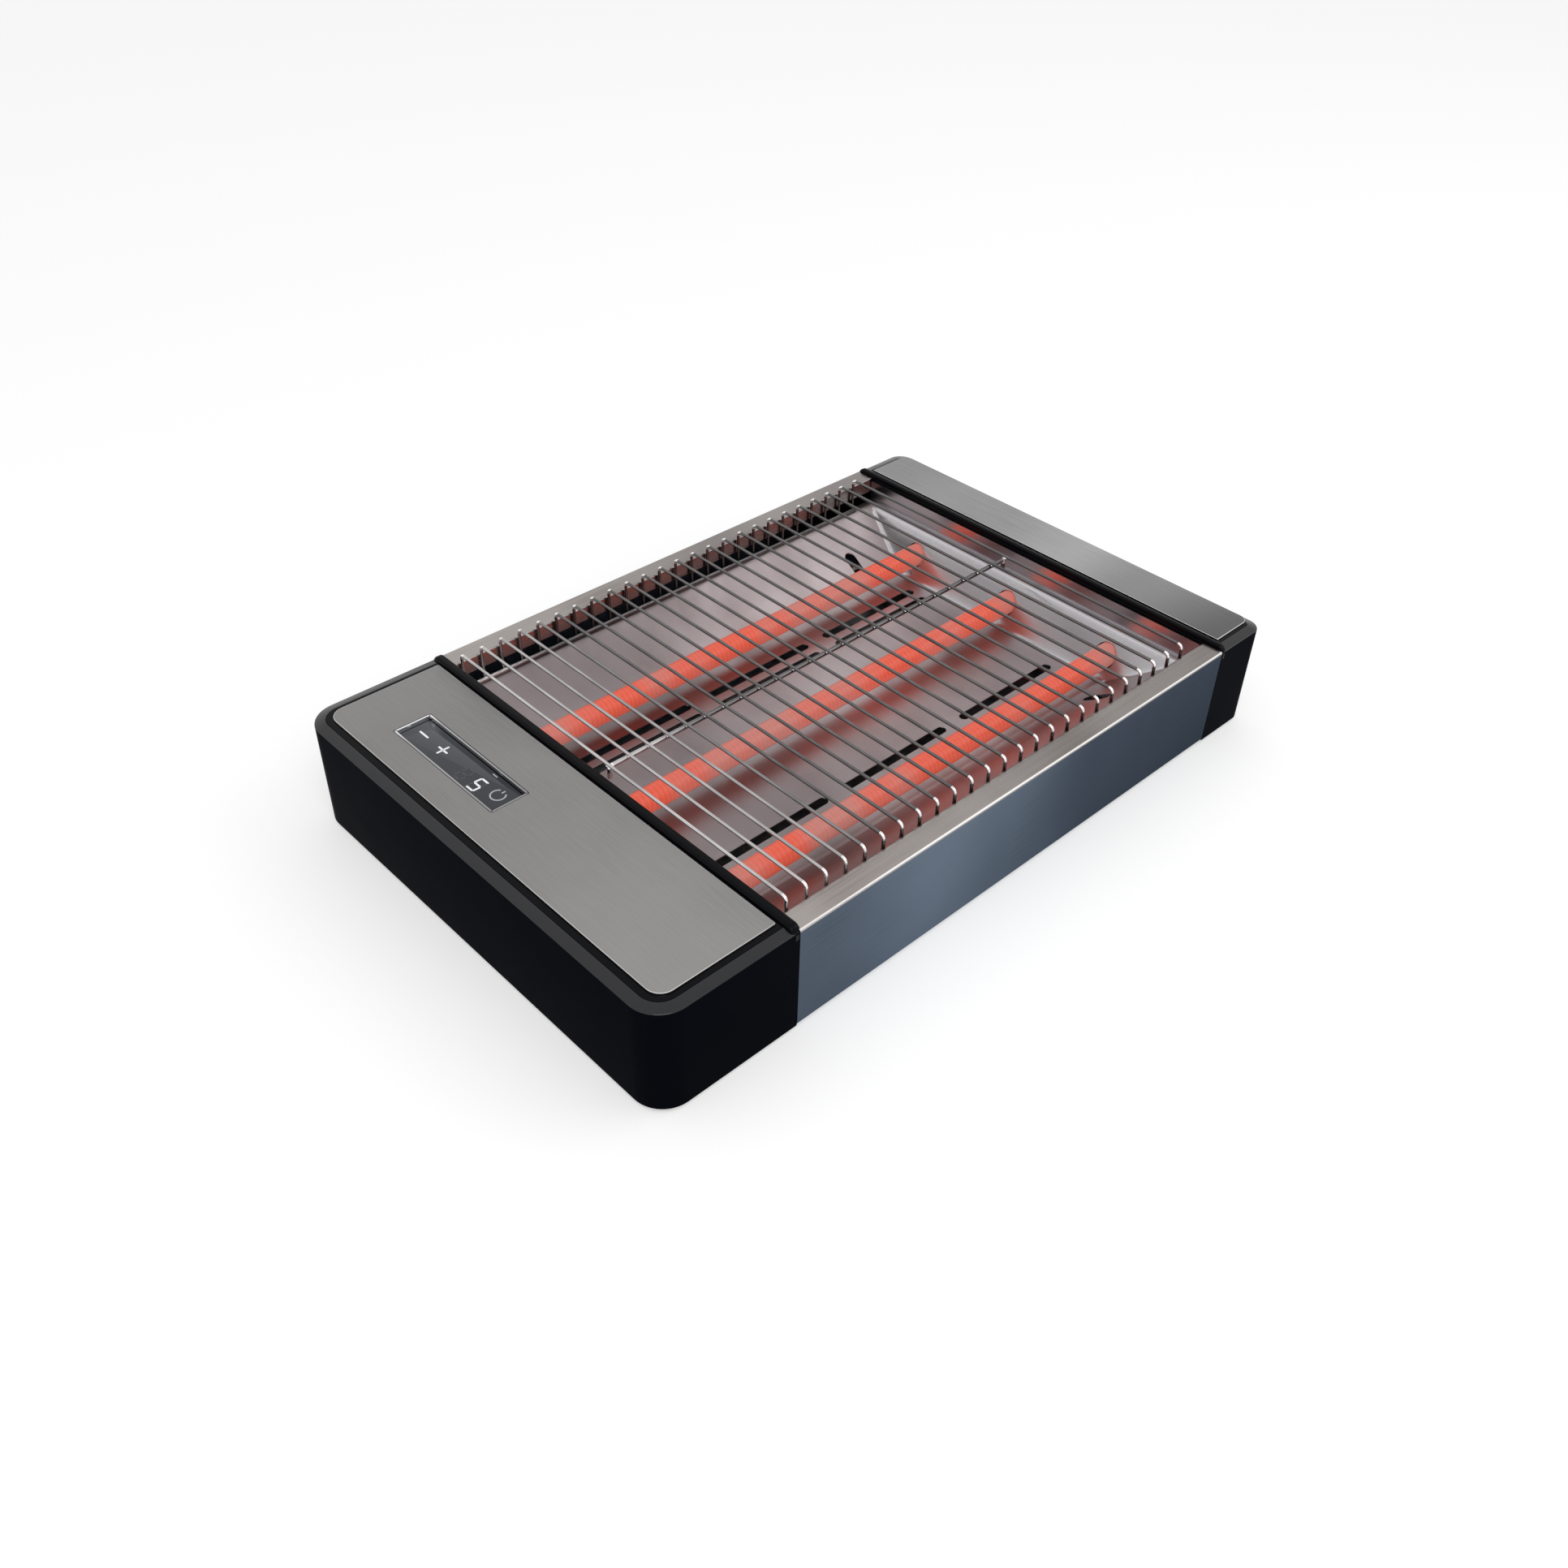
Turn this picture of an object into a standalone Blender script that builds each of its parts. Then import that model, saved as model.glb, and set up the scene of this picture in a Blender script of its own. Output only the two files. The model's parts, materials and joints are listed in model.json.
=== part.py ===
"""Flat toaster: a wire rack over three heating tubes, between two moulded end housings.

Metres, +Z up. X runs along the toaster, with the control end at -X. The origin is on the
surface that the toaster stands on, under its middle. The crumb tray slides out to +Y.
"""

import math

import bmesh
import bpy
from mathutils import Vector

# Whole toaster
LENGTH = 0.395
WIDTH = 0.250
BODY_HEIGHT = 0.0543
FOOT_LIFT = 0.002
CONTROL_LENGTH = 0.0727
FAR_LENGTH = 0.036

# Clearances
FIT = 0.0003
RUNNING_GAP = 0.0006
OVERRUN = 0.002
NEAR = 1e-6

# Moulded housings
SHELL_WALL = 0.0025
CONTROL_CORNER_RADIUS = 0.015
FAR_CORNER_RADIUS = 0.008
CORNER_STEPS = 5
ROUND_PROFILE_SHARE = 0.5
CHAMFER_INSET = 0.005
CHAMFER_DROP = 0.0012
HOUSING_RISE = 0.0004
LIP_RISE = 0.0022
LIP_THICKNESS = 0.0037
LIP_OVERHANG = 0.0010
LIP_RADIUS = 0.0012
LIP_PLATE_RADIUS = 0.0016
LIP_STEPS = 3
LIP_CORNER_RADIUS = 0.004
COVER_THICKNESS = 0.0022

# Steel top plates
PLATE_THICKNESS = 0.0008
PLATE_SEAM_INSET = 0.0052
CONTROL_PLATE_OUTER_INSET = 0.0086
CONTROL_PLATE_SIDE_INSET = 0.008
CONTROL_PLATE_RADIUS = 0.0075
FAR_PLATE_OUTER_INSET = 0.0032
FAR_PLATE_SIDE_INSET = 0.0071
FAR_PLATE_RADIUS = 0.005

# Steel body
SHEET = 0.0008
FLANGE_WIDTH = 0.0116
FLANGE_LIP = 0.008
BOTTOM_FLANGE = 0.010
EDGE_RADIUS = 0.0014
EDGE_STEPS = 3
BASE_SHEET = 0.001
VENT_LENGTH = 0.040
VENT_WIDTH = 0.004
VENT_PITCH = 0.012
VENT_COUNT = 5
VENT_X_OFFSET = 0.062

# Reflector pan
PAN_SHEET = 0.0006
PAN_RIM_DROP = 0.0143
PAN_FLOOR_HEIGHT = 0.016
PAN_FLOOR_SIDE = 0.072
PAN_RIM_WIDTH = 0.0045
PAN_END_SLOPE = 0.012
CRUMB_SLOT_WIDTH = 0.005
CRUMB_SLOT_LENGTH = 0.070
CRUMB_SLOT_GAP = 0.012
CRUMB_SLOT_COUNT = 3
CRUMB_SLOT_SIDES = (0.044, 0.054)
WING_SLOT_WIDTH = 0.007
WING_SLOT_LENGTH = 0.014
WING_SLOT_FROM_SEAM = 0.041
WING_SLOT_SIDE = 0.085
STRIP_DROP = 0.0014
STRIP_FOOT = 0.0016

# Heating tubes
TUBE_DIAMETER = 0.012
TUBE_WALL = 0.001
TUBE_SPACING = 0.067
TUBE_SIDES = 16
COIL_GAP = 0.0004
COIL_WALL = 0.0008
HOLDER_DIAMETER = 0.0165
HOLDER_LENGTH = 0.014
HOLDER_FLOOR = 0.004
HOLDER_COLLAR = 0.003
HOLDER_COLLAR_WIDTH = 0.002
LINK_THICKNESS = 0.0012
LINK_HEIGHT = 0.008
LEAD_DIAMETER = 0.0024
LEAD_RUN = 0.006
LEAD_BEND = 0.004
LEAD_BEND_STEPS = 3
RETURN_SIDE = 0.092
RETURN_HEIGHT = 0.017

# Wire rack
RACK_RISE = 0.006
WIRE_COUNT = 25
WIRE_PITCH = 0.011
WIRE_DIAMETER = 0.0016
ROD_DIAMETER = 0.0024
WELD_DEPTH = 0.0004
FIRST_WIRE_FROM_SEAM = 0.0048
LEG_GAP = 0.0005
BEND_RADIUS = 0.0022
BEND_STEPS = 3
TIP_DROP = 0.006
TIP_SHIFT = 0.0006
ROD_OVERHANG = 0.0013

# Display
WINDOW_LENGTH = 0.0762
WINDOW_WIDTH = 0.0197
WINDOW_X_OFFSET = -0.0044
WINDOW_Y = 0.0484
BEZEL_WALL = 0.0009
GLASS_RECESS = 0.0022
GLASS_THICKNESS = 0.0016
BEZEL_SKIRT = 0.0006
BOARD_THICKNESS = 0.0016
DISPLAY_BOARD_MARGIN = 0.011
DISPLAY_BOARD_SIDE = 0.004
PAD_HEIGHT = 0.0034
PAD_RADIUS = 0.0045
PAD_SIDES = 16
POWER_PAD_Y = 0.0172
MINUS_PAD_Y = 0.0740
PLUS_PAD_Y = 0.0595
DIGIT_Y = 0.0330
DIGIT_LENGTH = 0.019
DIGIT_WIDTH = 0.013

# Parts in the control housing
POWER_BOARD_LIFT = 0.006
POWER_BOARD_WIDTH = 0.048
POWER_BOARD_GAP = 0.009
TERMINAL_END_ROOM = 0.017
POST_RADIUS = 0.003
POST_INSET = 0.005
POST_SIDES = 12
RELAY_SIZE = (0.015, 0.019, 0.0155)
TRANSFORMER_SIZE = (0.030, 0.028, 0.024)
CAPACITOR_SIZE = (0.010, 0.026, 0.019)
TERMINAL_SIZE = (0.013, 0.026, 0.012)
TERMINAL_SLOT_DEPTH = 0.004
TERMINAL_SLOT_WIDTH = 0.0036
RELAY_PLACE_SHARES = (-0.28, 0.25)
CAPACITOR_PLACE_SHARES = (-0.25, -0.02)
TRANSFORMER_PLACE_SHARES = (0.0, -0.33)
TERMINAL_INSET = 0.0095
BOBBIN_WIDTH_SHARE = 0.55
BOBBIN_HEIGHT_SHARE = 0.7
BOBBIN_RISE = 0.002
LEAD_PITCH = 0.008
RIBBON_INSET = 0.008
RIBBON_WIDTH = 0.012
RIBBON_THICKNESS = 0.0008
CUTOUT_RADIUS = 0.006
CUTOUT_DEPTH = 0.005
CUTOUT_Y = 0.033
INLET_HEIGHT = 0.022
INLET_BORE = 0.0038
INLET_RADIUS = 0.0055
INLET_COLLAR_RADIUS = 0.0075
INLET_COLLAR = 0.0015
INLET_STEPS = 20

# Crumb tray
TRAY_SHEET = 0.0006
TRAY_WALL = 0.008
TRAY_END_GAP = 0.012
TRAY_BACK = 0.100
FRONT_THICKNESS = 0.003
SCOOP_LENGTH = 0.045
SCOOP_DEPTH = 0.0022
SCOOP_HEIGHT_SHARE = 0.55
GUIDE_SHEET = 0.0008
GUIDE_LEG = 0.006

# Feet and screws
FOOT_RADIUS = 0.008
FOOT_STEM_RADIUS = 0.0025
FOOT_EDGE = 0.0006
FOOT_SIDES = 24
FOOT_INSET_X = 0.018
FOOT_INSET_Y = 0.026
SCREW_RADIUS = 0.0015
SCREW_HEAD_RADIUS = 0.003
SCREW_HEAD = 0.0008
SCREW_DEPTH = 0.009
SCREW_SIDES = 12
BOSS_RADIUS = 0.004
BOSS_INSET = 0.012
LEDGE_DEPTH = 0.003
LEDGE_HEIGHT = 0.003

# Shading
SHARP_ANGLE = math.radians(30.0)

# Levels and places that follow from the sizes above
BOTTOM = FOOT_LIFT
FLANGE_TOP = FOOT_LIFT + BODY_HEIGHT
HOUSING_TOP = FLANGE_TOP + HOUSING_RISE
LIP_TOP = FLANGE_TOP + LIP_RISE
CHAMFER = (CHAMFER_INSET, CHAMFER_DROP)
CHAMFER_FACE = math.hypot(*CHAMFER)
INNER_CHAMFER_SHARE = 1 - SHELL_WALL * (sum(CHAMFER) - CHAMFER_FACE) / math.prod(CHAMFER)
INNER_CHAMFER = tuple(size * INNER_CHAMFER_SHARE for size in CHAMFER)
PLATE_BASE = HOUSING_TOP + FIT
PLATE_TOP = PLATE_BASE + PLATE_THICKNESS
CONTROL_END = -LENGTH / 2
FAR_END = LENGTH / 2
CONTROL_SEAM = CONTROL_END + CONTROL_LENGTH
FAR_SEAM = FAR_END - FAR_LENGTH
HALF_WIDTH = WIDTH / 2
BODY_START = CONTROL_SEAM + FIT
BODY_END = FAR_SEAM - FIT
BODY_MIDDLE = (BODY_START + BODY_END) / 2
OPENING_SIDE = HALF_WIDTH - FLANGE_WIDTH
PAN_RIM = FLANGE_TOP - PAN_RIM_DROP
PAN_FLOOR = FOOT_LIFT + PAN_FLOOR_HEIGHT
LEDGE_SIDE = OPENING_SIDE - FIT - PAN_RIM_WIDTH
TUBE_LEVEL = (PAN_FLOOR + PAN_RIM) / 2
COVER_TOP = BOTTOM + COVER_THICKNESS
BASE_BOTTOM = BOTTOM + SHEET + FIT
BASE_TOP = BASE_BOTTOM + BASE_SHEET
GUIDE_BOTTOM = BASE_TOP + FIT
TRAY_BOTTOM = GUIDE_BOTTOM + GUIDE_SHEET + FIT
TRAY_TOP = TRAY_BOTTOM + TRAY_WALL
GUIDE_TOP = TRAY_TOP + RUNNING_GAP + GUIDE_SHEET
TRAY_START = BODY_START + TRAY_END_GAP
TRAY_END = BODY_END - TRAY_END_GAP
SLOT_START = TRAY_START - RUNNING_GAP
SLOT_END = TRAY_END + RUNNING_GAP
SLOT_BOTTOM = TRAY_BOTTOM - RUNNING_GAP
SLOT_TOP = TRAY_TOP + 2 * RUNNING_GAP
TUBE_ROWS = {"front": -TUBE_SPACING, "middle": 0.0, "rear": TUBE_SPACING}
CONTROL_FEET_X = CONTROL_END + FOOT_INSET_X
FAR_FEET_X = FAR_END - FOOT_INSET_X
FOOT_SIDES_Y = (-HALF_WIDTH + FOOT_INSET_Y, HALF_WIDTH - FOOT_INSET_Y)
PLATE_MIDDLE = (CONTROL_END + CONTROL_PLATE_OUTER_INSET + CONTROL_SEAM - PLATE_SEAM_INSET) / 2
WINDOW_X = PLATE_MIDDLE + WINDOW_X_OFFSET
GLASS_TOP = PLATE_TOP - GLASS_RECESS
GLASS_BOTTOM = GLASS_TOP - GLASS_THICKNESS
DISPLAY_BOARD_TOP = GLASS_BOTTOM - FIT - PAD_HEIGHT - FIT
DISPLAY_POST_REACH = WINDOW_LENGTH / 2 + DISPLAY_BOARD_MARGIN / 2
DISPLAY_POSTS = (WINDOW_Y - DISPLAY_POST_REACH, WINDOW_Y + DISPLAY_POST_REACH)
HOLDER_BACK = CONTROL_SEAM - HOLDER_LENGTH
POWER_BOARD_X = (CONTROL_END + SHELL_WALL + HOLDER_BACK) / 2
POWER_BOARD_BOTTOM = COVER_TOP + POWER_BOARD_LIFT
POWER_BOARD_TOP = POWER_BOARD_BOTTOM + BOARD_THICKNESS
TERMINAL_X = POWER_BOARD_X + POWER_BOARD_WIDTH / 2 - TERMINAL_INSET
TERMINAL_Y = TUBE_ROWS["middle"]
POWER_BOARD_FRONT = -HALF_WIDTH + BOSS_INSET + BOSS_RADIUS + POWER_BOARD_GAP
POWER_BOARD_REAR = TERMINAL_Y + TERMINAL_SIZE[1] / 2 + TERMINAL_END_ROOM
POWER_BOARD_LENGTH = POWER_BOARD_REAR - POWER_BOARD_FRONT
POWER_BOARD_Y = (POWER_BOARD_FRONT + POWER_BOARD_REAR) / 2
TERMINAL_TOP = POWER_BOARD_TOP + FIT + TERMINAL_SIZE[2]
LEAD_END_Y = {
    "front": TERMINAL_Y - LEAD_PITCH,
    "middle": TERMINAL_Y,
    "rear": TERMINAL_Y + LEAD_PITCH,
}
RETURN_LEVEL = FOOT_LIFT + RETURN_HEIGHT
RETURN_END_Y = TERMINAL_Y + LEAD_PITCH / 2
RIBBON_Y = POWER_BOARD_REAR - RIBBON_INSET
INLET_X = (CONTROL_END + CONTROL_SEAM) / 2
INLET_LEVEL = FOOT_LIFT + INLET_HEIGHT


def clear_scene():
    for obj in list(bpy.data.objects):
        bpy.data.objects.remove(obj, do_unlink=True)


def new_collection(name):
    group = bpy.data.collections.new(name)
    bpy.context.scene.collection.children.link(group)
    return group


clear_scene()
PARTS = new_collection("flat_toaster")
CUTTERS = new_collection("cutters")
MATERIALS = {}


def material(name, colour, roughness, metallic=0.0, glow=0.0):
    """One Principled material for each finish, made when it is first asked for."""
    if name not in MATERIALS:
        made = bpy.data.materials.new(name)
        made.use_nodes = True
        shader = made.node_tree.nodes["Principled BSDF"]
        shader.inputs["Base Color"].default_value = (*colour, 1.0)
        shader.inputs["Roughness"].default_value = roughness
        shader.inputs["Metallic"].default_value = metallic
        shader.inputs["Emission Color"].default_value = (*colour, 1.0)
        shader.inputs["Emission Strength"].default_value = glow
        made.diffuse_color = (*colour, 1.0)
        MATERIALS[name] = made
    return MATERIALS[name]


def black_plastic():
    return material("black_plastic", (0.012, 0.014, 0.018), 0.35)


def brushed_steel():
    return material("brushed_steel", (0.55, 0.54, 0.52), 0.35, 1.0)


def polished_steel():
    return material("polished_steel", (0.72, 0.70, 0.68), 0.12, 1.0)


def chrome_wire():
    return material("chrome_wire", (0.80, 0.80, 0.80), 0.12, 1.0)


def zinc_steel():
    return material("zinc_steel", (0.50, 0.52, 0.54), 0.45, 1.0)


def hot_quartz():
    return material("hot_quartz", (0.90, 0.16, 0.08), 0.30, 0.0, 1.0)


def resistance_wire():
    return material("resistance_wire", (1.0, 0.25, 0.08), 0.50, 0.0, 2.0)


def white_ceramic():
    return material("white_ceramic", (0.78, 0.76, 0.70), 0.55)


def dark_glass():
    return material("dark_glass", (0.035, 0.040, 0.055), 0.10)


def circuit_board():
    return material("circuit_board", (0.02, 0.16, 0.06), 0.50)


def white_plastic():
    return material("white_plastic", (0.75, 0.76, 0.78), 0.45)


def blue_plastic():
    return material("blue_plastic", (0.03, 0.10, 0.35), 0.40)


def yellow_tape():
    return material("yellow_tape", (0.75, 0.52, 0.06), 0.45)


def black_rubber():
    return material("black_rubber", (0.020, 0.020, 0.020), 0.80)


def glass_sleeve():
    return material("glass_sleeve", (0.62, 0.60, 0.55), 0.75)


# Building blocks


def to_object(name, bm, place, group=None, matter=None):
    mesh = bpy.data.meshes.new(name)
    bm.to_mesh(mesh)
    bm.free()
    obj = bpy.data.objects.new(name, mesh)
    obj.location = place
    (group or PARTS).objects.link(obj)
    if matter:
        mesh.materials.append(matter)
    return obj


def block(name, low, high, matter=None):
    """A box from its low corner to its high corner."""
    low, high = Vector(low), Vector(high)
    bm = bmesh.new()
    bmesh.ops.create_cube(bm, size=1.0)
    bmesh.ops.scale(bm, vec=high - low, verts=bm.verts)
    return to_object(name, bm, (low + high) / 2, matter=matter)


def cylinder(name, start, end, radius, sides, matter=None):
    """A capped cylinder between two points."""
    start, end = Vector(start), Vector(end)
    run = end - start
    bm = bmesh.new()
    bmesh.ops.create_cone(
        bm, cap_ends=True, segments=sides, radius1=radius, radius2=radius, depth=run.length
    )
    obj = to_object(name, bm, (start + end) / 2, matter=matter)
    obj.rotation_euler = run.to_track_quat("Z", "Y").to_euler()
    return obj


def turned(name, profile, place, toward, sides, matter=None, closed=False):
    """A profile of (radius, height) points, top to bottom on its outer side, turned round an axis."""
    bm = bmesh.new()
    points = [bm.verts.new((radius, 0.0, height)) for radius, height in profile]
    pairs = list(zip(points, points[1:]))
    if closed:
        pairs.append((points[-1], points[0]))
    for pair in pairs:
        bm.edges.new(pair)
    obj = to_object(name, bm, place, matter=matter)
    obj.rotation_euler = Vector(toward).to_track_quat("Z", "Y").to_euler()
    screw = obj.modifiers.new("turn", "SCREW")
    screw.steps = sides
    screw.render_steps = sides
    screw.use_merge_vertices = True
    screw.merge_threshold = NEAR
    return obj


def bent_sheet(name, outline, start, end, along, gauge, matter):
    """Sheet metal: an outline at mid-thickness, drawn out along X or Y from start to end."""
    bm = bmesh.new()
    step = Vector((end - start, 0.0, 0.0)) if along == "X" else Vector((0.0, end - start, 0.0))
    points = []
    for across, height in outline:
        corner = (start, across, height) if along == "X" else (across, start, height)
        points.append(bm.verts.new(corner))
    edges = [bm.edges.new(pair) for pair in zip(points, points[1:])]
    drawn = bmesh.ops.extrude_edge_only(bm, edges=edges)["geom"]
    moved = [item for item in drawn if isinstance(item, bmesh.types.BMVert)]
    bmesh.ops.translate(bm, vec=step, verts=moved)
    obj = to_object(name, bm, (0.0, 0.0, 0.0), matter=matter)
    thicken(obj, gauge, 0.0)
    return obj


def thicken(obj, gauge, side):
    solid = obj.modifiers.new("sheet", "SOLIDIFY")
    solid.thickness = gauge
    solid.offset = side
    solid.use_even_offset = True
    return solid


def round_edges(obj, radius, steps, pick):
    """Bevels the edges whose two ends, in world places, pick accepts."""
    bm = bmesh.new()
    bm.from_mesh(obj.data)
    chosen = [edge for edge in bm.edges if pick(*[obj.location + vert.co for vert in edge.verts])]
    bmesh.ops.bevel(
        bm,
        geom=chosen,
        offset=radius,
        segments=steps,
        profile=ROUND_PROFILE_SHARE,
        affect="EDGES",
        clamp_overlap=True,
    )
    bm.to_mesh(obj.data)
    bm.free()


def same(first, second):
    return abs(first - second) < NEAR


def hide_tool(tool):
    for group in tool.users_collection:
        group.objects.unlink(tool)
    CUTTERS.objects.link(tool)
    tool.hide_render = True
    tool.display_type = "WIRE"


def combine(target, tool, operation):
    boolean = target.modifiers.new(tool.name, "BOOLEAN")
    boolean.operation = operation
    boolean.object = tool
    boolean.solver = "EXACT"
    if tool.name not in CUTTERS.objects:
        hide_tool(tool)


def cut(target, tool):
    combine(target, tool, "DIFFERENCE")


def fuse(target, tool):
    combine(target, tool, "UNION")


def wire_curve(name, runs, diameter, bevel_steps, matter=None):
    """Round wire along one or more runs of points, with closed ends."""
    data = bpy.data.curves.new(name, "CURVE")
    data.dimensions = "3D"
    data.bevel_depth = diameter / 2
    data.bevel_resolution = bevel_steps
    data.use_fill_caps = True
    for points in runs:
        spline = data.splines.new("POLY")
        spline.points.add(len(points) - 1)
        for knot, point in zip(spline.points, points):
            knot.co = (*point, 1.0)
    obj = bpy.data.objects.new(name, data)
    PARTS.objects.link(obj)
    if matter:
        data.materials.append(matter)
    return obj


def as_mesh(obj):
    """The same shape as a mesh with its caps welded, so that it can be joined or cut."""
    graph = bpy.context.evaluated_depsgraph_get()
    mesh = bpy.data.meshes.new_from_object(obj.evaluated_get(graph))
    bm = bmesh.new()
    bm.from_mesh(mesh)
    bmesh.ops.remove_doubles(bm, verts=bm.verts, dist=NEAR)
    bm.to_mesh(mesh)
    bm.free()
    name = obj.name
    place = obj.matrix_world.copy()
    bpy.data.objects.remove(obj, do_unlink=True)
    made = bpy.data.objects.new(name, mesh)
    made.matrix_world = place
    PARTS.objects.link(made)
    return made


def arc(middle, radius, start, end, steps):
    """Points of an arc in a plane, angles in degrees, ends included."""
    turns = [math.radians(start + (end - start) * step / steps) for step in range(steps + 1)]
    return [(middle[0] + radius * math.cos(t), middle[1] + radius * math.sin(t)) for t in turns]


def smooth_corners(points, radius, steps):
    """A route through the points with each inner corner rounded by a short curve."""
    points = [Vector(point) for point in points]
    route = [points[0]]
    for before, corner, after in zip(points, points[1:], points[2:]):
        into = (before - corner).normalized() * min(radius, (before - corner).length / 2)
        out = (after - corner).normalized() * min(radius, (after - corner).length / 2)
        for step in range(steps + 1):
            share = step / steps
            first = (corner + into).lerp(corner, share)
            second = corner.lerp(corner + out, share)
            route.append(first.lerp(second, share))
    route.append(points[-1])
    return route


# Moulded end housings


def round_cornered_block(name, outer, inner, half_width, bottom, top, radius, matter=None):
    """A box whose two upright edges at the outer end are round."""
    low = (min(outer, inner), -half_width, bottom)
    high = (max(outer, inner), half_width, top)
    solid = block(name, low, high, matter)
    round_edges(
        solid,
        radius,
        CORNER_STEPS,
        lambda a, b: same(a.x, outer) and same(b.x, outer) and not same(a.z, b.z),
    )
    return solid


def chamfered_block(name, outer, inner, half_width, bottom, top, radius, chamfer, matter=None):
    """The same with a shallow chamfer round the top, which runs out at the inner end."""
    inset, drop = chamfer
    solid = round_cornered_block(name, outer, inner, half_width, bottom, top - drop, radius, matter)
    bm = bmesh.new()
    bm.from_mesh(solid.data)
    bm.normal_update()
    height = top - drop - solid.location.z
    lid = [face for face in bm.faces if all(same(vert.co.z, height) for vert in face.verts)]
    bmesh.ops.inset_region(bm, faces=lid, thickness=inset, use_even_offset=True)
    seam = inner - solid.location.x
    for vert in {vert for face in lid for vert in face.verts}:
        vert.co.z += drop
        if abs(vert.co.x - seam) < inset + NEAR:
            vert.co.x = seam
    bm.to_mesh(solid.data)
    bm.free()
    return solid


def seam_bead(name, seam, outward, overhang):
    """The raised lip along the seam. Below, it sits a clearance inside the housing's faces."""
    plate_side = seam + outward * LIP_THICKNESS
    trough_side = seam - outward * overhang
    half_length = HALF_WIDTH - FIT
    bottom = HOUSING_TOP - CHAMFER_DROP - LIP_CORNER_RADIUS
    low = (min(plate_side, trough_side), -half_length, bottom)
    high = (max(plate_side, trough_side), half_length, LIP_TOP)
    bead = block(name, low, high)
    round_edges(
        bead,
        LIP_CORNER_RADIUS,
        CORNER_STEPS,
        lambda a, b: same(a.z, LIP_TOP) and same(b.z, LIP_TOP) and same(a.y, b.y),
    )
    shoulder = LIP_TOP - LIP_CORNER_RADIUS - NEAR
    room = LIP_THICKNESS + overhang - FIT
    round_edges(
        bead,
        LIP_RADIUS,
        LIP_STEPS,
        lambda a, b: same(a.x, trough_side) and same(b.x, trough_side) and min(a.z, b.z) > shoulder,
    )
    round_edges(
        bead,
        min(LIP_PLATE_RADIUS, room - LIP_RADIUS),
        LIP_STEPS,
        lambda a, b: same(a.x, plate_side) and same(b.x, plate_side) and min(a.z, b.z) > shoulder,
    )
    if overhang > 0:
        past = seam - outward * (overhang + OVERRUN)
        wall = seam + outward * FIT
        low = (min(wall, past), -HALF_WIDTH - OVERRUN, bottom - OVERRUN)
        high = (max(wall, past), HALF_WIDTH + OVERRUN, FLANGE_TOP + FIT)
        cut(bead, block(name + "_step", low, high))
    return bead


def boss_places(outer, seam, rows):
    """Screw places in one housing: a pair at each of the given distances from an end."""
    outward = math.copysign(1.0, outer - seam)
    ends = {"outer": outer - outward * BOSS_INSET, "inner": seam + outward * BOSS_INSET}
    side = HALF_WIDTH - BOSS_INSET
    return [(ends[row], y) for row in rows for y in (-side, side)]


def end_housing(name, outer, seam, corner_radius, overhang, boss_rows):
    """One end housing: a chamfered shell with a lip, bosses, holder holes and a ledge for the pan."""
    outward = math.copysign(1.0, outer - seam)
    shell = chamfered_block(
        name, outer, seam, HALF_WIDTH, BOTTOM, HOUSING_TOP, corner_radius, CHAMFER, black_plastic()
    )
    fuse(shell, seam_bead(name + "_bead", seam, outward, overhang))
    hollow = chamfered_block(
        name + "_hollow",
        outer - outward * SHELL_WALL,
        seam + outward * SHELL_WALL,
        HALF_WIDTH - SHELL_WALL,
        BOTTOM - OVERRUN,
        HOUSING_TOP - SHELL_WALL,
        corner_radius - SHELL_WALL,
        INNER_CHAMFER,
    )
    cut(shell, hollow)
    boss_top = HOUSING_TOP - SHELL_WALL / 2
    for index, (x, y) in enumerate(boss_places(outer, seam, boss_rows)):
        tag = f"{name}_boss_{index}"
        fuse(shell, cylinder(tag, (x, y, COVER_TOP + FIT), (x, y, boss_top), BOSS_RADIUS, SCREW_SIDES))
        pilot_end = BOTTOM + SCREW_DEPTH + OVERRUN
        pilot_radius = SCREW_RADIUS + FIT
        cut(shell, cylinder(tag + "_pilot", (x, y, BOTTOM), (x, y, pilot_end), pilot_radius, SCREW_SIDES))
    inward = -outward
    ledge_end = seam + inward * (2 * FIT + LEDGE_DEPTH)
    low_x, high_x = sorted((seam + outward * SHELL_WALL / 2, ledge_end))
    ledge_top = PAN_RIM - PAN_SHEET - FIT
    low = (low_x, -LEDGE_SIDE, ledge_top - LEDGE_HEIGHT)
    fuse(shell, block(name + "_ledge", low, (high_x, LEDGE_SIDE, ledge_top)))
    wall_end = seam + outward * (SHELL_WALL + OVERRUN)
    wall_start = ledge_end + inward * OVERRUN
    for row, y in TUBE_ROWS.items():
        start = (wall_start, y, TUBE_LEVEL)
        end = (wall_end, y, TUBE_LEVEL)
        cut(shell, cylinder(f"{name}_hole_{row}", start, end, HOLDER_DIAMETER / 2 + FIT, TUBE_SIDES))
    start = (wall_start, RETURN_SIDE, RETURN_LEVEL)
    end = (wall_end, RETURN_SIDE, RETURN_LEVEL)
    cut(shell, cylinder(name + "_lead_hole", start, end, LEAD_DIAMETER / 2 + FIT, SCREW_SIDES))
    return shell


def window_block(name, margin, bottom, top, matter=None):
    """A box over the display window, smaller than it by a margin on each side."""
    half_width = WINDOW_WIDTH / 2 - margin
    half_length = WINDOW_LENGTH / 2 - margin
    low = (WINDOW_X - half_width, WINDOW_Y - half_length, bottom)
    high = (WINDOW_X + half_width, WINDOW_Y + half_length, top)
    return block(name, low, high, matter)


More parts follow.
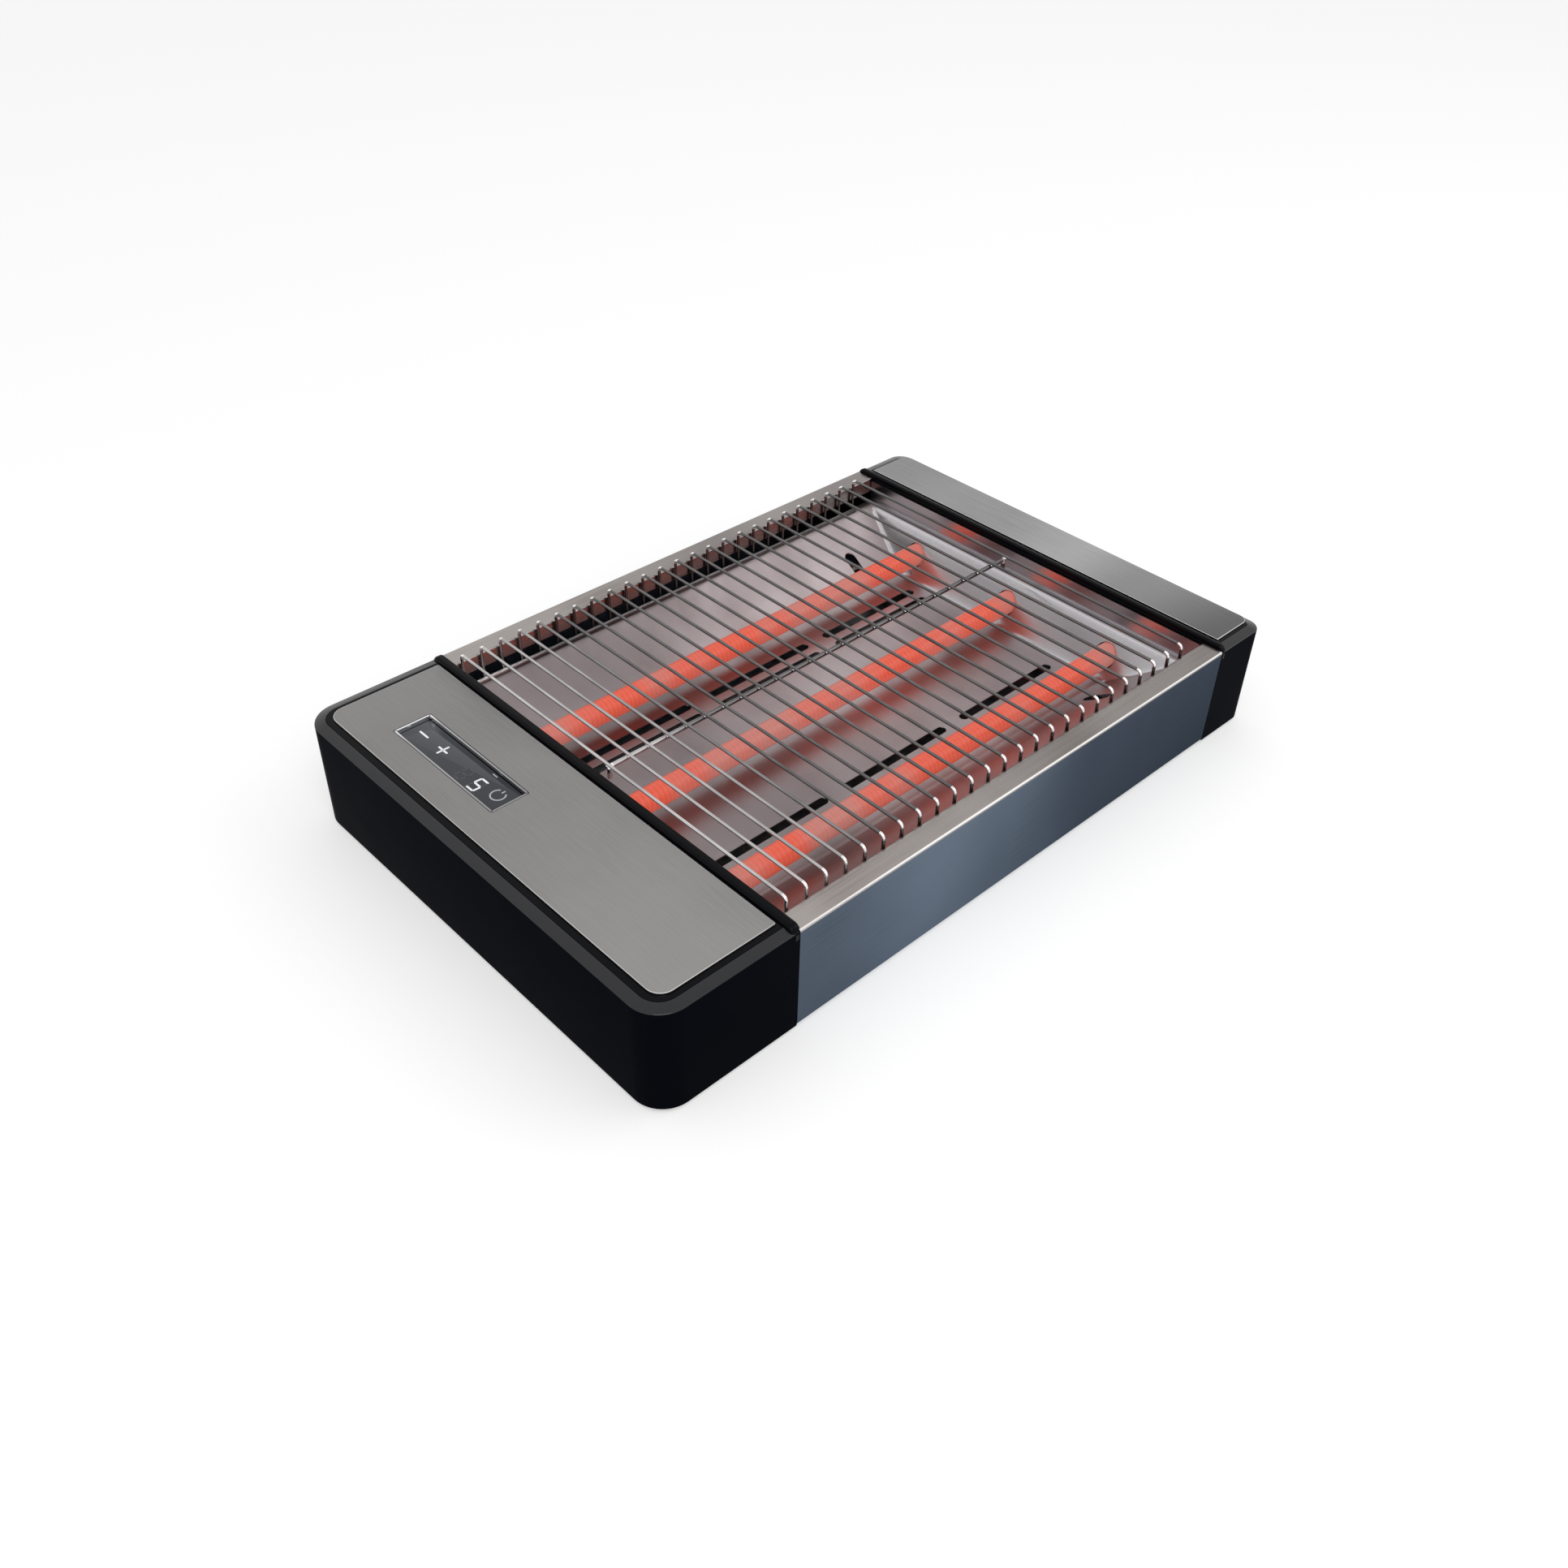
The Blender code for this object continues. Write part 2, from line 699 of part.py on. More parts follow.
def control_housing():
    rows = ("outer", "inner")
    shell = end_housing(
        "control_housing", CONTROL_END, CONTROL_SEAM, CONTROL_CORNER_RADIUS, LIP_OVERHANG, rows
    )
    cut(shell, window_block("housing_window", 0.0, HOUSING_TOP - SHELL_WALL - OVERRUN, LIP_TOP))
    for index, y in enumerate(DISPLAY_POSTS):
        top = HOUSING_TOP - SHELL_WALL / 2
        post = cylinder(
            f"display_post_{index}",
            (WINDOW_X, y, DISPLAY_BOARD_TOP + FIT),
            (WINDOW_X, y, top),
            POST_RADIUS,
            POST_SIDES,
        )
        fuse(shell, post)
    start = (INLET_X, HALF_WIDTH - SHELL_WALL - OVERRUN, INLET_LEVEL)
    end = (INLET_X, HALF_WIDTH + OVERRUN, INLET_LEVEL)
    cut(shell, cylinder("inlet_hole", start, end, INLET_RADIUS + FIT, INLET_STEPS))
    return shell


def base_cover(name, outer, seam, corner_radius, boss_rows, feet_x):
    """The cover that closes one housing from below, with holes for its screws and feet."""
    outward = math.copysign(1.0, outer - seam)
    margin = SHELL_WALL + FIT
    cover = round_cornered_block(
        name,
        outer - outward * margin,
        seam + outward * margin,
        HALF_WIDTH - margin,
        BOTTOM,
        COVER_TOP,
        corner_radius - margin,
        black_plastic(),
    )
    below = BOTTOM - OVERRUN
    above = COVER_TOP + OVERRUN
    for index, (x, y) in enumerate(boss_places(outer, seam, boss_rows)):
        tag = f"{name}_screw_{index}"
        cut(cover, cylinder(tag, (x, y, below), (x, y, above), SCREW_RADIUS + FIT, SCREW_SIDES))
        head_top = BOTTOM + FIT + SCREW_HEAD + FIT
        sink = cylinder(tag + "_sink", (x, y, below), (x, y, head_top), SCREW_HEAD_RADIUS + FIT, FOOT_SIDES)
        cut(cover, sink)
    for index, y in enumerate(FOOT_SIDES_Y):
        start, end = (feet_x, y, below), (feet_x, y, above)
        cut(cover, cylinder(f"{name}_foot_{index}", start, end, FOOT_STEM_RADIUS + FIT, POST_SIDES))
    return cover


def control_base_cover():
    rows = ("outer", "inner")
    cover = base_cover(
        "control_base_cover", CONTROL_END, CONTROL_SEAM, CONTROL_CORNER_RADIUS, rows, CONTROL_FEET_X
    )
    half_width = POWER_BOARD_WIDTH / 2 - POST_INSET
    half_length = POWER_BOARD_LENGTH / 2 - POST_INSET
    for across in (-half_width, half_width):
        for along in (-half_length, half_length):
            x, y = POWER_BOARD_X + across, POWER_BOARD_Y + along
            tag = f"board_post_{'outer' if across < 0 else 'inner'}_{'front' if along < 0 else 'rear'}"
            bottom = COVER_TOP - COVER_THICKNESS / 2
            top = POWER_BOARD_BOTTOM - FIT
            fuse(cover, cylinder(tag, (x, y, bottom), (x, y, top), POST_RADIUS, POST_SIDES))
    return cover


def cover_screws():
    """One screw for each boss, its head sunk in the cover."""
    places = {
        "control": boss_places(CONTROL_END, CONTROL_SEAM, ("outer", "inner")),
        "far": boss_places(FAR_END, FAR_SEAM, ("outer",)),
    }
    head = SCREW_HEAD
    profile = [
        (0.0, SCREW_DEPTH),
        (SCREW_RADIUS, SCREW_DEPTH),
        (SCREW_RADIUS, head),
        (SCREW_HEAD_RADIUS, head),
        (SCREW_HEAD_RADIUS, 0.0),
        (0.0, 0.0),
    ]
    for end, spots in places.items():
        for index, (x, y) in enumerate(spots):
            name = f"{end}_cover_screw_{index + 1}"
            turned(name, profile, (x, y, BOTTOM + FIT), (0, 0, 1), SCREW_SIDES, zinc_steel())


def feet():
    """Rubber feet, each with a stem through its cover."""
    top = FOOT_LIFT - FIT
    stem_top = COVER_TOP + FIT
    profile = [
        (0.0, stem_top),
        (FOOT_STEM_RADIUS, stem_top),
        (FOOT_STEM_RADIUS, top),
        (FOOT_RADIUS, top),
        (FOOT_RADIUS, FOOT_EDGE),
        (FOOT_RADIUS - FOOT_EDGE, 0.0),
        (0.0, 0.0),
    ]
    for end, x in (("control", CONTROL_FEET_X), ("far", FAR_FEET_X)):
        for side, y in zip(("front", "rear"), FOOT_SIDES_Y):
            turned(f"foot_{end}_{side}", profile, (x, y, 0.0), (0, 0, 1), FOOT_SIDES, black_rubber())


# Steel top plates and display


def top_plate(name, outer, seam, outer_inset, side_inset, radius):
    outward = math.copysign(1.0, outer - seam)
    return round_cornered_block(
        name,
        outer - outward * outer_inset,
        seam + outward * PLATE_SEAM_INSET,
        HALF_WIDTH - side_inset,
        PLATE_BASE,
        PLATE_TOP,
        radius,
        brushed_steel(),
    )


def control_plate():
    plate = top_plate(
        "control_plate",
        CONTROL_END,
        CONTROL_SEAM,
        CONTROL_PLATE_OUTER_INSET,
        CONTROL_PLATE_SIDE_INSET,
        CONTROL_PLATE_RADIUS,
    )
    cut(plate, window_block("plate_window", 0.0, PLATE_BASE - OVERRUN, PLATE_TOP + OVERRUN))


def display():
    """The window's bright lining, the dark glass in it, and the board with its keys behind."""
    bezel = window_block("display_bezel", FIT, GLASS_BOTTOM - BEZEL_SKIRT, PLATE_TOP, polished_steel())
    inner = window_block("bezel_inner", FIT + BEZEL_WALL, GLASS_BOTTOM - OVERRUN, PLATE_TOP + OVERRUN)
    cut(bezel, inner)
    window_block("display_glass", FIT + BEZEL_WALL + FIT, GLASS_BOTTOM, GLASS_TOP, dark_glass())
    half_width = WINDOW_WIDTH / 2 + DISPLAY_BOARD_SIDE
    half_length = WINDOW_LENGTH / 2 + DISPLAY_BOARD_MARGIN
    bottom = DISPLAY_BOARD_TOP - BOARD_THICKNESS
    low = (WINDOW_X - half_width, WINDOW_Y - half_length, bottom)
    high = (WINDOW_X + half_width, WINDOW_Y + half_length, DISPLAY_BOARD_TOP)
    block("display_board", low, high, circuit_board())
    keys = {"minus": MINUS_PAD_Y, "plus": PLUS_PAD_Y, "power": POWER_PAD_Y}
    for key, y in keys.items():
        start = (WINDOW_X, y, DISPLAY_BOARD_TOP + FIT)
        end = (WINDOW_X, y, GLASS_BOTTOM - FIT)
        cylinder(f"touch_pad_{key}", start, end, PAD_RADIUS, PAD_SIDES, black_rubber())
    low = (WINDOW_X - DIGIT_WIDTH / 2, DIGIT_Y - DIGIT_LENGTH / 2, DISPLAY_BOARD_TOP + FIT)
    high = (WINDOW_X + DIGIT_WIDTH / 2, DIGIT_Y + DIGIT_LENGTH / 2, GLASS_BOTTOM - FIT)
    block("digit_module", low, high, white_plastic())


# Electrics in the control housing


def on_board(place_shares):
    """A place on the power board, from shares of the board's size."""
    across, along = place_shares
    return POWER_BOARD_X + across * POWER_BOARD_WIDTH, POWER_BOARD_Y + along * POWER_BOARD_LENGTH


def board_part(name, size, place, matter):
    """A block that stands on the power board."""
    x, y = place
    bottom = POWER_BOARD_TOP + FIT
    low = (x - size[0] / 2, y - size[1] / 2, bottom)
    high = (x + size[0] / 2, y + size[1] / 2, bottom + size[2])
    return block(name, low, high, matter)


def power_electrics():
    half_width = POWER_BOARD_WIDTH / 2
    half_length = POWER_BOARD_LENGTH / 2
    low = (POWER_BOARD_X - half_width, POWER_BOARD_Y - half_length, POWER_BOARD_BOTTOM)
    high = (POWER_BOARD_X + half_width, POWER_BOARD_Y + half_length, POWER_BOARD_TOP)
    block("power_board", low, high, circuit_board())
    board_part("relay", RELAY_SIZE, on_board(RELAY_PLACE_SHARES), blue_plastic())
    board_part("filter_capacitor", CAPACITOR_SIZE, on_board(CAPACITOR_PLACE_SHARES), yellow_tape())
    transformer()
    terminal_block()
    low = (WINDOW_X - RIBBON_WIDTH / 2, RIBBON_Y - RIBBON_THICKNESS / 2, POWER_BOARD_TOP + FIT)
    high_z = DISPLAY_BOARD_TOP - BOARD_THICKNESS - FIT
    high = (WINDOW_X + RIBBON_WIDTH / 2, RIBBON_Y + RIBBON_THICKNESS / 2, high_z)
    block("ribbon_cable", low, high, white_plastic())
    inner_face = CONTROL_SEAM - SHELL_WALL - FIT
    start = (inner_face - CUTOUT_DEPTH, CUTOUT_Y, TUBE_LEVEL)
    end = (inner_face, CUTOUT_Y, TUBE_LEVEL)
    cylinder("thermal_cutout", start, end, CUTOUT_RADIUS, PAD_SIDES, zinc_steel())


def transformer():
    """A core with its wound bobbin standing out on both sides."""
    size = TRANSFORMER_SIZE
    place = on_board(TRANSFORMER_PLACE_SHARES)
    core = board_part("transformer", size, place, yellow_tape())
    waist = (size[0] * BOBBIN_WIDTH_SHARE, size[1] + 2 * BOBBIN_RISE, size[2] * BOBBIN_HEIGHT_SHARE)
    bobbin = board_part("transformer_bobbin", waist, place, yellow_tape())
    bobbin.location.z = core.location.z
    fuse(core, bobbin)


def terminal_block():
    """A screw terminal block with one pocket for each element lead."""
    body = board_part("terminal_block", TERMINAL_SIZE, (TERMINAL_X, TERMINAL_Y), white_plastic())
    half = TERMINAL_SLOT_WIDTH / 2
    for row, y in LEAD_END_Y.items():
        low = (TERMINAL_X - TERMINAL_SLOT_WIDTH, y - half, TERMINAL_TOP - TERMINAL_SLOT_DEPTH)
        high = (TERMINAL_X + TERMINAL_SLOT_WIDTH, y + half, TERMINAL_TOP + OVERRUN)
        cut(body, block(f"terminal_pocket_{row}", low, high))


def cord_inlet_bush():
    """The bush in the rear wall that the mains cord would pass through."""
    behind_wall = -SHELL_WALL - FIT
    profile = [
        (INLET_RADIUS, 0.0),
        (INLET_RADIUS, behind_wall),
        (INLET_COLLAR_RADIUS, behind_wall),
        (INLET_COLLAR_RADIUS, behind_wall - INLET_COLLAR),
        (INLET_BORE, behind_wall - INLET_COLLAR),
        (INLET_BORE, 0.0),
    ]
    place = (INLET_X, HALF_WIDTH, INLET_LEVEL)
    turned("cord_inlet_bush", profile, place, (0, 1, 0), INLET_STEPS, black_rubber(), closed=True)


# Steel body


def side_panel(name, side):
    """A long panel: outer wall, top flange, lip down into the trough, and a foot flange."""
    half = SHEET / 2
    lip = side * (OPENING_SIDE + half)
    wall = side * (HALF_WIDTH - half)
    top = FLANGE_TOP - half
    radius = EDGE_RADIUS - half
    centre = (side * (HALF_WIDTH - EDGE_RADIUS), FLANGE_TOP - EDGE_RADIUS)
    start, end = (90.0, 0.0) if side > 0 else (90.0, 180.0)
    outline = [(lip, FLANGE_TOP - FLANGE_LIP), (lip, top)]
    outline += arc(centre, radius, start, end, EDGE_STEPS)
    outline += [(wall, BOTTOM + half), (side * (HALF_WIDTH - BOTTOM_FLANGE), BOTTOM + half)]
    return bent_sheet(name, outline, BODY_START, BODY_END, "X", SHEET, brushed_steel())


def rear_side_panel():
    panel = side_panel("rear_side_panel", 1.0)
    low = (SLOT_START, HALF_WIDTH - SHEET - OVERRUN, SLOT_BOTTOM)
    high = (SLOT_END, HALF_WIDTH + OVERRUN, SLOT_TOP)
    cut(panel, block("tray_slot", low, high))


def base_plate():
    """The plate that closes the body from below, with two groups of vents."""
    side = HALF_WIDTH - SHEET - FIT
    low = (BODY_START, -side, BASE_BOTTOM)
    plate = block("base_plate", low, (BODY_END, side, BASE_TOP), zinc_steel())
    for group in (-1, 1):
        for row in range(VENT_COUNT):
            x = BODY_MIDDLE + group * VENT_X_OFFSET
            y = (row - (VENT_COUNT - 1) / 2) * VENT_PITCH
            low = (x - VENT_LENGTH / 2, y - VENT_WIDTH / 2, BASE_BOTTOM - OVERRUN)
            high = (x + VENT_LENGTH / 2, y + VENT_WIDTH / 2, BASE_TOP + OVERRUN)
            cut(plate, block(f"vent_{'control' if group < 0 else 'far'}_{row}", low, high))


def reflector_pan():
    """A polished pan with sloping sides, a flat rim, crumb slots and holes for the tubes."""
    rim_start, rim_end = BODY_START + FIT, BODY_END - FIT
    rim_side = OPENING_SIDE - FIT
    wing_length = rim_end - rim_start - 2 * PAN_RIM_WIDTH
    wing_width = 2 * (rim_side - PAN_RIM_WIDTH)
    floor_length = wing_length - 2 * PAN_END_SLOPE
    bm = bmesh.new()
    bmesh.ops.create_cube(bm, size=1.0)
    lid = [face for face in bm.faces if face.normal.z > NEAR]
    bmesh.ops.delete(bm, geom=lid, context="FACES_ONLY")
    upper = [vert for vert in bm.verts if vert.co.z > 0]
    lower = [vert for vert in bm.verts if vert.co.z < 0]
    depth = PAN_RIM - PAN_FLOOR
    bmesh.ops.scale(bm, vec=(wing_length, wing_width, depth), verts=upper)
    bmesh.ops.scale(bm, vec=(floor_length, 2 * PAN_FLOOR_SIDE, depth), verts=lower)
    edges = [edge for edge in bm.edges if edge.is_boundary]
    drawn = bmesh.ops.extrude_edge_only(bm, edges=edges)["geom"]
    rim = [item for item in drawn if isinstance(item, bmesh.types.BMVert)]
    grow = ((rim_end - rim_start) / wing_length, 2 * rim_side / wing_width, 1.0)
    bmesh.ops.scale(bm, vec=grow, verts=rim)
    place = (BODY_MIDDLE, 0.0, PAN_FLOOR + depth / 2)
    pan = to_object("reflector_pan", bm, place, matter=polished_steel())
    thicken(pan, PAN_SHEET, 1.0)
    for row, y in TUBE_ROWS.items():
        start, end = (rim_start, y, TUBE_LEVEL), (rim_end, y, TUBE_LEVEL)
        cut(pan, cylinder(f"pan_hole_{row}", start, end, TUBE_DIAMETER / 2 + RUNNING_GAP, TUBE_SIDES))
    run = CRUMB_SLOT_COUNT * CRUMB_SLOT_LENGTH + (CRUMB_SLOT_COUNT - 1) * CRUMB_SLOT_GAP
    for row in range(CRUMB_SLOT_COUNT):
        start = BODY_MIDDLE - run / 2 + row * (CRUMB_SLOT_LENGTH + CRUMB_SLOT_GAP)
        for side in [sign * across for across in CRUMB_SLOT_SIDES for sign in (-1, 1)]:
            low = (start, side - CRUMB_SLOT_WIDTH / 2, PAN_FLOOR - OVERRUN)
            high = (start + CRUMB_SLOT_LENGTH, side + CRUMB_SLOT_WIDTH / 2, PAN_FLOOR + OVERRUN)
            cut(pan, block(f"crumb_slot_{row}", low, high))
    x = FAR_SEAM - WING_SLOT_FROM_SEAM
    for side in (-WING_SLOT_SIDE, WING_SLOT_SIDE):
        low = (x - WING_SLOT_WIDTH / 2, side - WING_SLOT_LENGTH / 2, PAN_FLOOR + OVERRUN)
        high = (x + WING_SLOT_WIDTH / 2, side + WING_SLOT_LENGTH / 2, PAN_RIM - OVERRUN)
        cut(pan, block("wing_slot", low, high))


def end_strip(name, wall, inward):
    """A polished strip that closes the trough between the pan's rim and a housing."""
    web = wall + inward * (FIT + SHEET / 2)
    foot = PAN_RIM + FIT + SHEET / 2
    outline = [(web + inward * STRIP_FOOT, foot), (web, foot), (web, FLANGE_TOP - STRIP_DROP)]
    side = OPENING_SIDE - 2 * FIT
    bent_sheet(name, outline, -side, side, "Y", SHEET, polished_steel())


# Heating tubes and their wiring


def heating_tube(row, y):
    """A quartz tube round a sleeve of fine windings, and a ceramic holder at each end."""
    reach = HOLDER_LENGTH - HOLDER_FLOOR - FIT
    start, end = CONTROL_SEAM - reach, FAR_SEAM + reach
    radius = TUBE_DIAMETER / 2
    bore = radius - TUBE_WALL
    half = (end - start) / 2
    profile = [(radius, half), (radius, -half), (bore, -half), (bore, half)]
    middle = ((start + end) / 2, y, TUBE_LEVEL)
    turned(f"quartz_tube_{row}", profile, middle, (1, 0, 0), TUBE_SIDES, hot_quartz(), closed=True)
    coil_radius = bore - COIL_GAP
    coil_bore = coil_radius - COIL_WALL
    sleeve = [(coil_radius, half), (coil_radius, -half), (coil_bore, -half), (coil_bore, half)]
    turned(f"heating_coil_{row}", sleeve, middle, (1, 0, 0), TUBE_SIDES, resistance_wire(), closed=True)
    for end_name, seam, outward in (("control", CONTROL_SEAM, -1), ("far", FAR_SEAM, 1)):
        ceramic_holder(f"ceramic_holder_{row}_{end_name}", (seam, y, TUBE_LEVEL), outward)


def ceramic_holder(name, place, outward):
    """A ceramic cup through the housing's wall, its collar against the inside of the wall."""
    barrel = HOLDER_DIAMETER / 2
    collar = barrel + HOLDER_COLLAR_WIDTH
    bore = TUBE_DIAMETER / 2 + FIT
    collar_start = SHELL_WALL + FIT
    profile = [
        (0.0, HOLDER_LENGTH),
        (barrel, HOLDER_LENGTH),
        (barrel, collar_start + HOLDER_COLLAR),
        (collar, collar_start + HOLDER_COLLAR),
        (collar, collar_start),
        (barrel, collar_start),
        (barrel, 0.0),
        (bore, 0.0),
        (bore, HOLDER_LENGTH - HOLDER_FLOOR),
        (0.0, HOLDER_LENGTH - HOLDER_FLOOR),
    ]
    turned(name, profile, place, (outward, 0, 0), TUBE_SIDES, white_ceramic())


def element_leads():
    """Leads from the holders to the terminal block, and the return from the far end."""
    back = HOLDER_BACK - FIT
    turn = back - LEAD_RUN
    end_level = TERMINAL_TOP - TERMINAL_SLOT_DEPTH + FIT
    for row, y in TUBE_ROWS.items():
        across = LEAD_END_Y[row]
        points = [(back, y, TUBE_LEVEL), (turn, y, TUBE_LEVEL), (turn, across, TUBE_LEVEL)]
        if row == "middle":
            points = [(back, y, TUBE_LEVEL)]
        points += [(TERMINAL_X, across, TUBE_LEVEL), (TERMINAL_X, across, end_level)]
        route = smooth_corners(points, LEAD_BEND, LEAD_BEND_STEPS)
        wire_curve(f"element_lead_{row}", [route], LEAD_DIAMETER, 1, glass_sleeve())
    bar = FAR_SEAM + HOLDER_LENGTH + FIT
    drop = FAR_SEAM + SHELL_WALL + LEAD_RUN
    bay = back - LEAD_DIAMETER
    block_face = TERMINAL_X + TERMINAL_SIZE[0] / 2 + FIT
    points = [
        (bar - FIT, RETURN_SIDE, TUBE_LEVEL),
        (drop, RETURN_SIDE, TUBE_LEVEL),
        (drop, RETURN_SIDE, RETURN_LEVEL),
        (bay, RETURN_SIDE, RETURN_LEVEL),
        (bay, RETURN_END_Y, RETURN_LEVEL),
        (block_face, RETURN_END_Y, RETURN_LEVEL),
    ]
    route = smooth_corners(points, LEAD_BEND, LEAD_BEND_STEPS)
    wire_curve("return_lead", [route], LEAD_DIAMETER, 1, glass_sleeve())
    low = (bar, -TUBE_SPACING - LINK_HEIGHT / 2, TUBE_LEVEL - LINK_HEIGHT / 2)
    high = (bar + LINK_THICKNESS, RETURN_SIDE + LINK_HEIGHT / 2, TUBE_LEVEL + LINK_HEIGHT / 2)
    block("far_link_bar", low, high, zinc_steel())


# Wire rack


def wire_rack():
    """Bent cross wires welded to two lower rods and to a bar under their middle."""
    leg = OPENING_SIDE - LEG_GAP - WIRE_DIAMETER / 2
    level = FLANGE_TOP + RACK_RISE - WIRE_DIAMETER / 2
    weld = WIRE_DIAMETER / 2 + ROD_DIAMETER / 2 - WELD_DEPTH
    foot = PAN_RIM + FIT
    rod_level = foot + ROD_DIAMETER / 2
    first = CONTROL_SEAM + FIRST_WIRE_FROM_SEAM
    centre = (leg - BEND_RADIUS, level - BEND_RADIUS)
    bend = arc(centre, BEND_RADIUS, 90.0, 0.0, BEND_STEPS)
    half = bend + [(leg, foot)]
    profile = [(-y, z) for y, z in reversed(half)] + half
    runs = []
    for count in range(WIRE_COUNT):
        x = first + count * WIRE_PITCH
        runs.append([(x, y, z) for y, z in profile])
    rack = as_mesh(wire_curve("wire_rack", runs, WIRE_DIAMETER, 1, chrome_wire()))
    last = first + (WIRE_COUNT - 1) * WIRE_PITCH
    start, end = first - ROD_OVERHANG, last + ROD_OVERHANG
    rods = []
    for side in (-1, 1):
        y = side * (leg - weld)
        rods.append([(start, y, rod_level), (end, y, rod_level)])
    bar_level = level - weld
    tip = bar_level - TIP_DROP
    points = [
        (first + TIP_SHIFT, 0.0, tip),
        (first + TIP_SHIFT, 0.0, bar_level),
        (last - TIP_SHIFT, 0.0, bar_level),
        (last - TIP_SHIFT, 0.0, tip),
    ]
    rods.append(smooth_corners(points, ROD_DIAMETER, BEND_STEPS))
    fuse(rack, as_mesh(wire_curve("rack_rods", rods, ROD_DIAMETER, 1)))


# Crumb tray


def crumb_tray():
    """The sliding tray and its front, both carried by one empty at the tray's middle."""
    low = Vector((TRAY_START, -TRAY_BACK, TRAY_BOTTOM))
    high = Vector((TRAY_END, HALF_WIDTH - FRONT_THICKNESS - FIT, TRAY_TOP))
    bm = bmesh.new()
    bmesh.ops.create_cube(bm, size=1.0)
    lid = [face for face in bm.faces if face.normal.z > NEAR]
    bmesh.ops.delete(bm, geom=lid, context="FACES_ONLY")
    bmesh.ops.scale(bm, vec=high - low, verts=bm.verts)
    tray = to_object("crumb_tray", bm, (low + high) / 2, matter=zinc_steel())
    thicken(tray, TRAY_SHEET, -1.0)
    low = (SLOT_START + RUNNING_GAP, HALF_WIDTH - FRONT_THICKNESS, SLOT_BOTTOM + RUNNING_GAP)
    high = (SLOT_END - RUNNING_GAP, HALF_WIDTH, SLOT_TOP - RUNNING_GAP)
    front = block("tray_front", low, high, black_plastic())
    scoop_top = low[2] + SCOOP_HEIGHT_SHARE * (high[2] - low[2])
    low = (BODY_MIDDLE - SCOOP_LENGTH / 2, HALF_WIDTH - SCOOP_DEPTH, low[2] - OVERRUN)
    high = (BODY_MIDDLE + SCOOP_LENGTH / 2, HALF_WIDTH + OVERRUN, scoop_top)
    cut(front, block("finger_scoop", low, high))
    slide = bpy.data.objects.new("tray_slide", None)
    slide.location = tray.location
    PARTS.objects.link(slide)
    for piece in (tray, front):
        piece.parent = slide
        piece.location -= slide.location


def tray_guide(name, edge, inward):
    """A channel that holds one edge of the tray from below, from the side and from above."""
    half = GUIDE_SHEET / 2
    web = edge - inward * (RUNNING_GAP + half)
    leg = web + inward * (GUIDE_LEG + half)
    bottom, top = GUIDE_BOTTOM + half, GUIDE_TOP - half
    outline = [(leg, bottom), (web, bottom), (web, top), (leg, top)]
    start = -TRAY_BACK
    end = HALF_WIDTH - FRONT_THICKNESS - RUNNING_GAP
    bent_sheet(name, outline, start, end, "Y", GUIDE_SHEET, zinc_steel())


def shade_round_pieces():
    """Smooth shading with sharp edges kept, on every mesh."""
    for obj in PARTS.objects:
        if obj.type == "MESH":
            obj.data.shade_smooth()
            split = obj.modifiers.new("sharp_edges", "EDGE_SPLIT")
            split.split_angle = SHARP_ANGLE


def build():
    control_housing()
    end_housing("far_housing", FAR_END, FAR_SEAM, FAR_CORNER_RADIUS, -FIT, ("outer",))
    control_base_cover()
    base_cover("far_base_cover", FAR_END, FAR_SEAM, FAR_CORNER_RADIUS, ("outer",), FAR_FEET_X)
    cover_screws()
    feet()
    control_plate()
    top_plate("far_plate", FAR_END, FAR_SEAM, FAR_PLATE_OUTER_INSET, FAR_PLATE_SIDE_INSET, FAR_PLATE_RADIUS)
    display()
    power_electrics()
    cord_inlet_bush()
    side_panel("front_side_panel", -1.0)
    rear_side_panel()
    base_plate()
    reflector_pan()
    end_strip("control_end_strip", BODY_START, 1)
    end_strip("far_end_strip", BODY_END, -1)
    for row, y in TUBE_ROWS.items():
        heating_tube(row, y)
    element_leads()
    wire_rack()
    crumb_tray()
    tray_guide("tray_guide_control", TRAY_START, 1)
    tray_guide("tray_guide_far", TRAY_END, -1)
    shade_round_pieces()


build()
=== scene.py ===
# %% [markdown]
# # A flat toaster, dressed
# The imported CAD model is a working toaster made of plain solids. This lesson keeps its sizes and
# places and gives it the looks of the real one: rounded mouldings, brushed and polished steel, a
# wire rack and three glowing tubes. Everything is in metres, with +Z up and +X along the toaster.

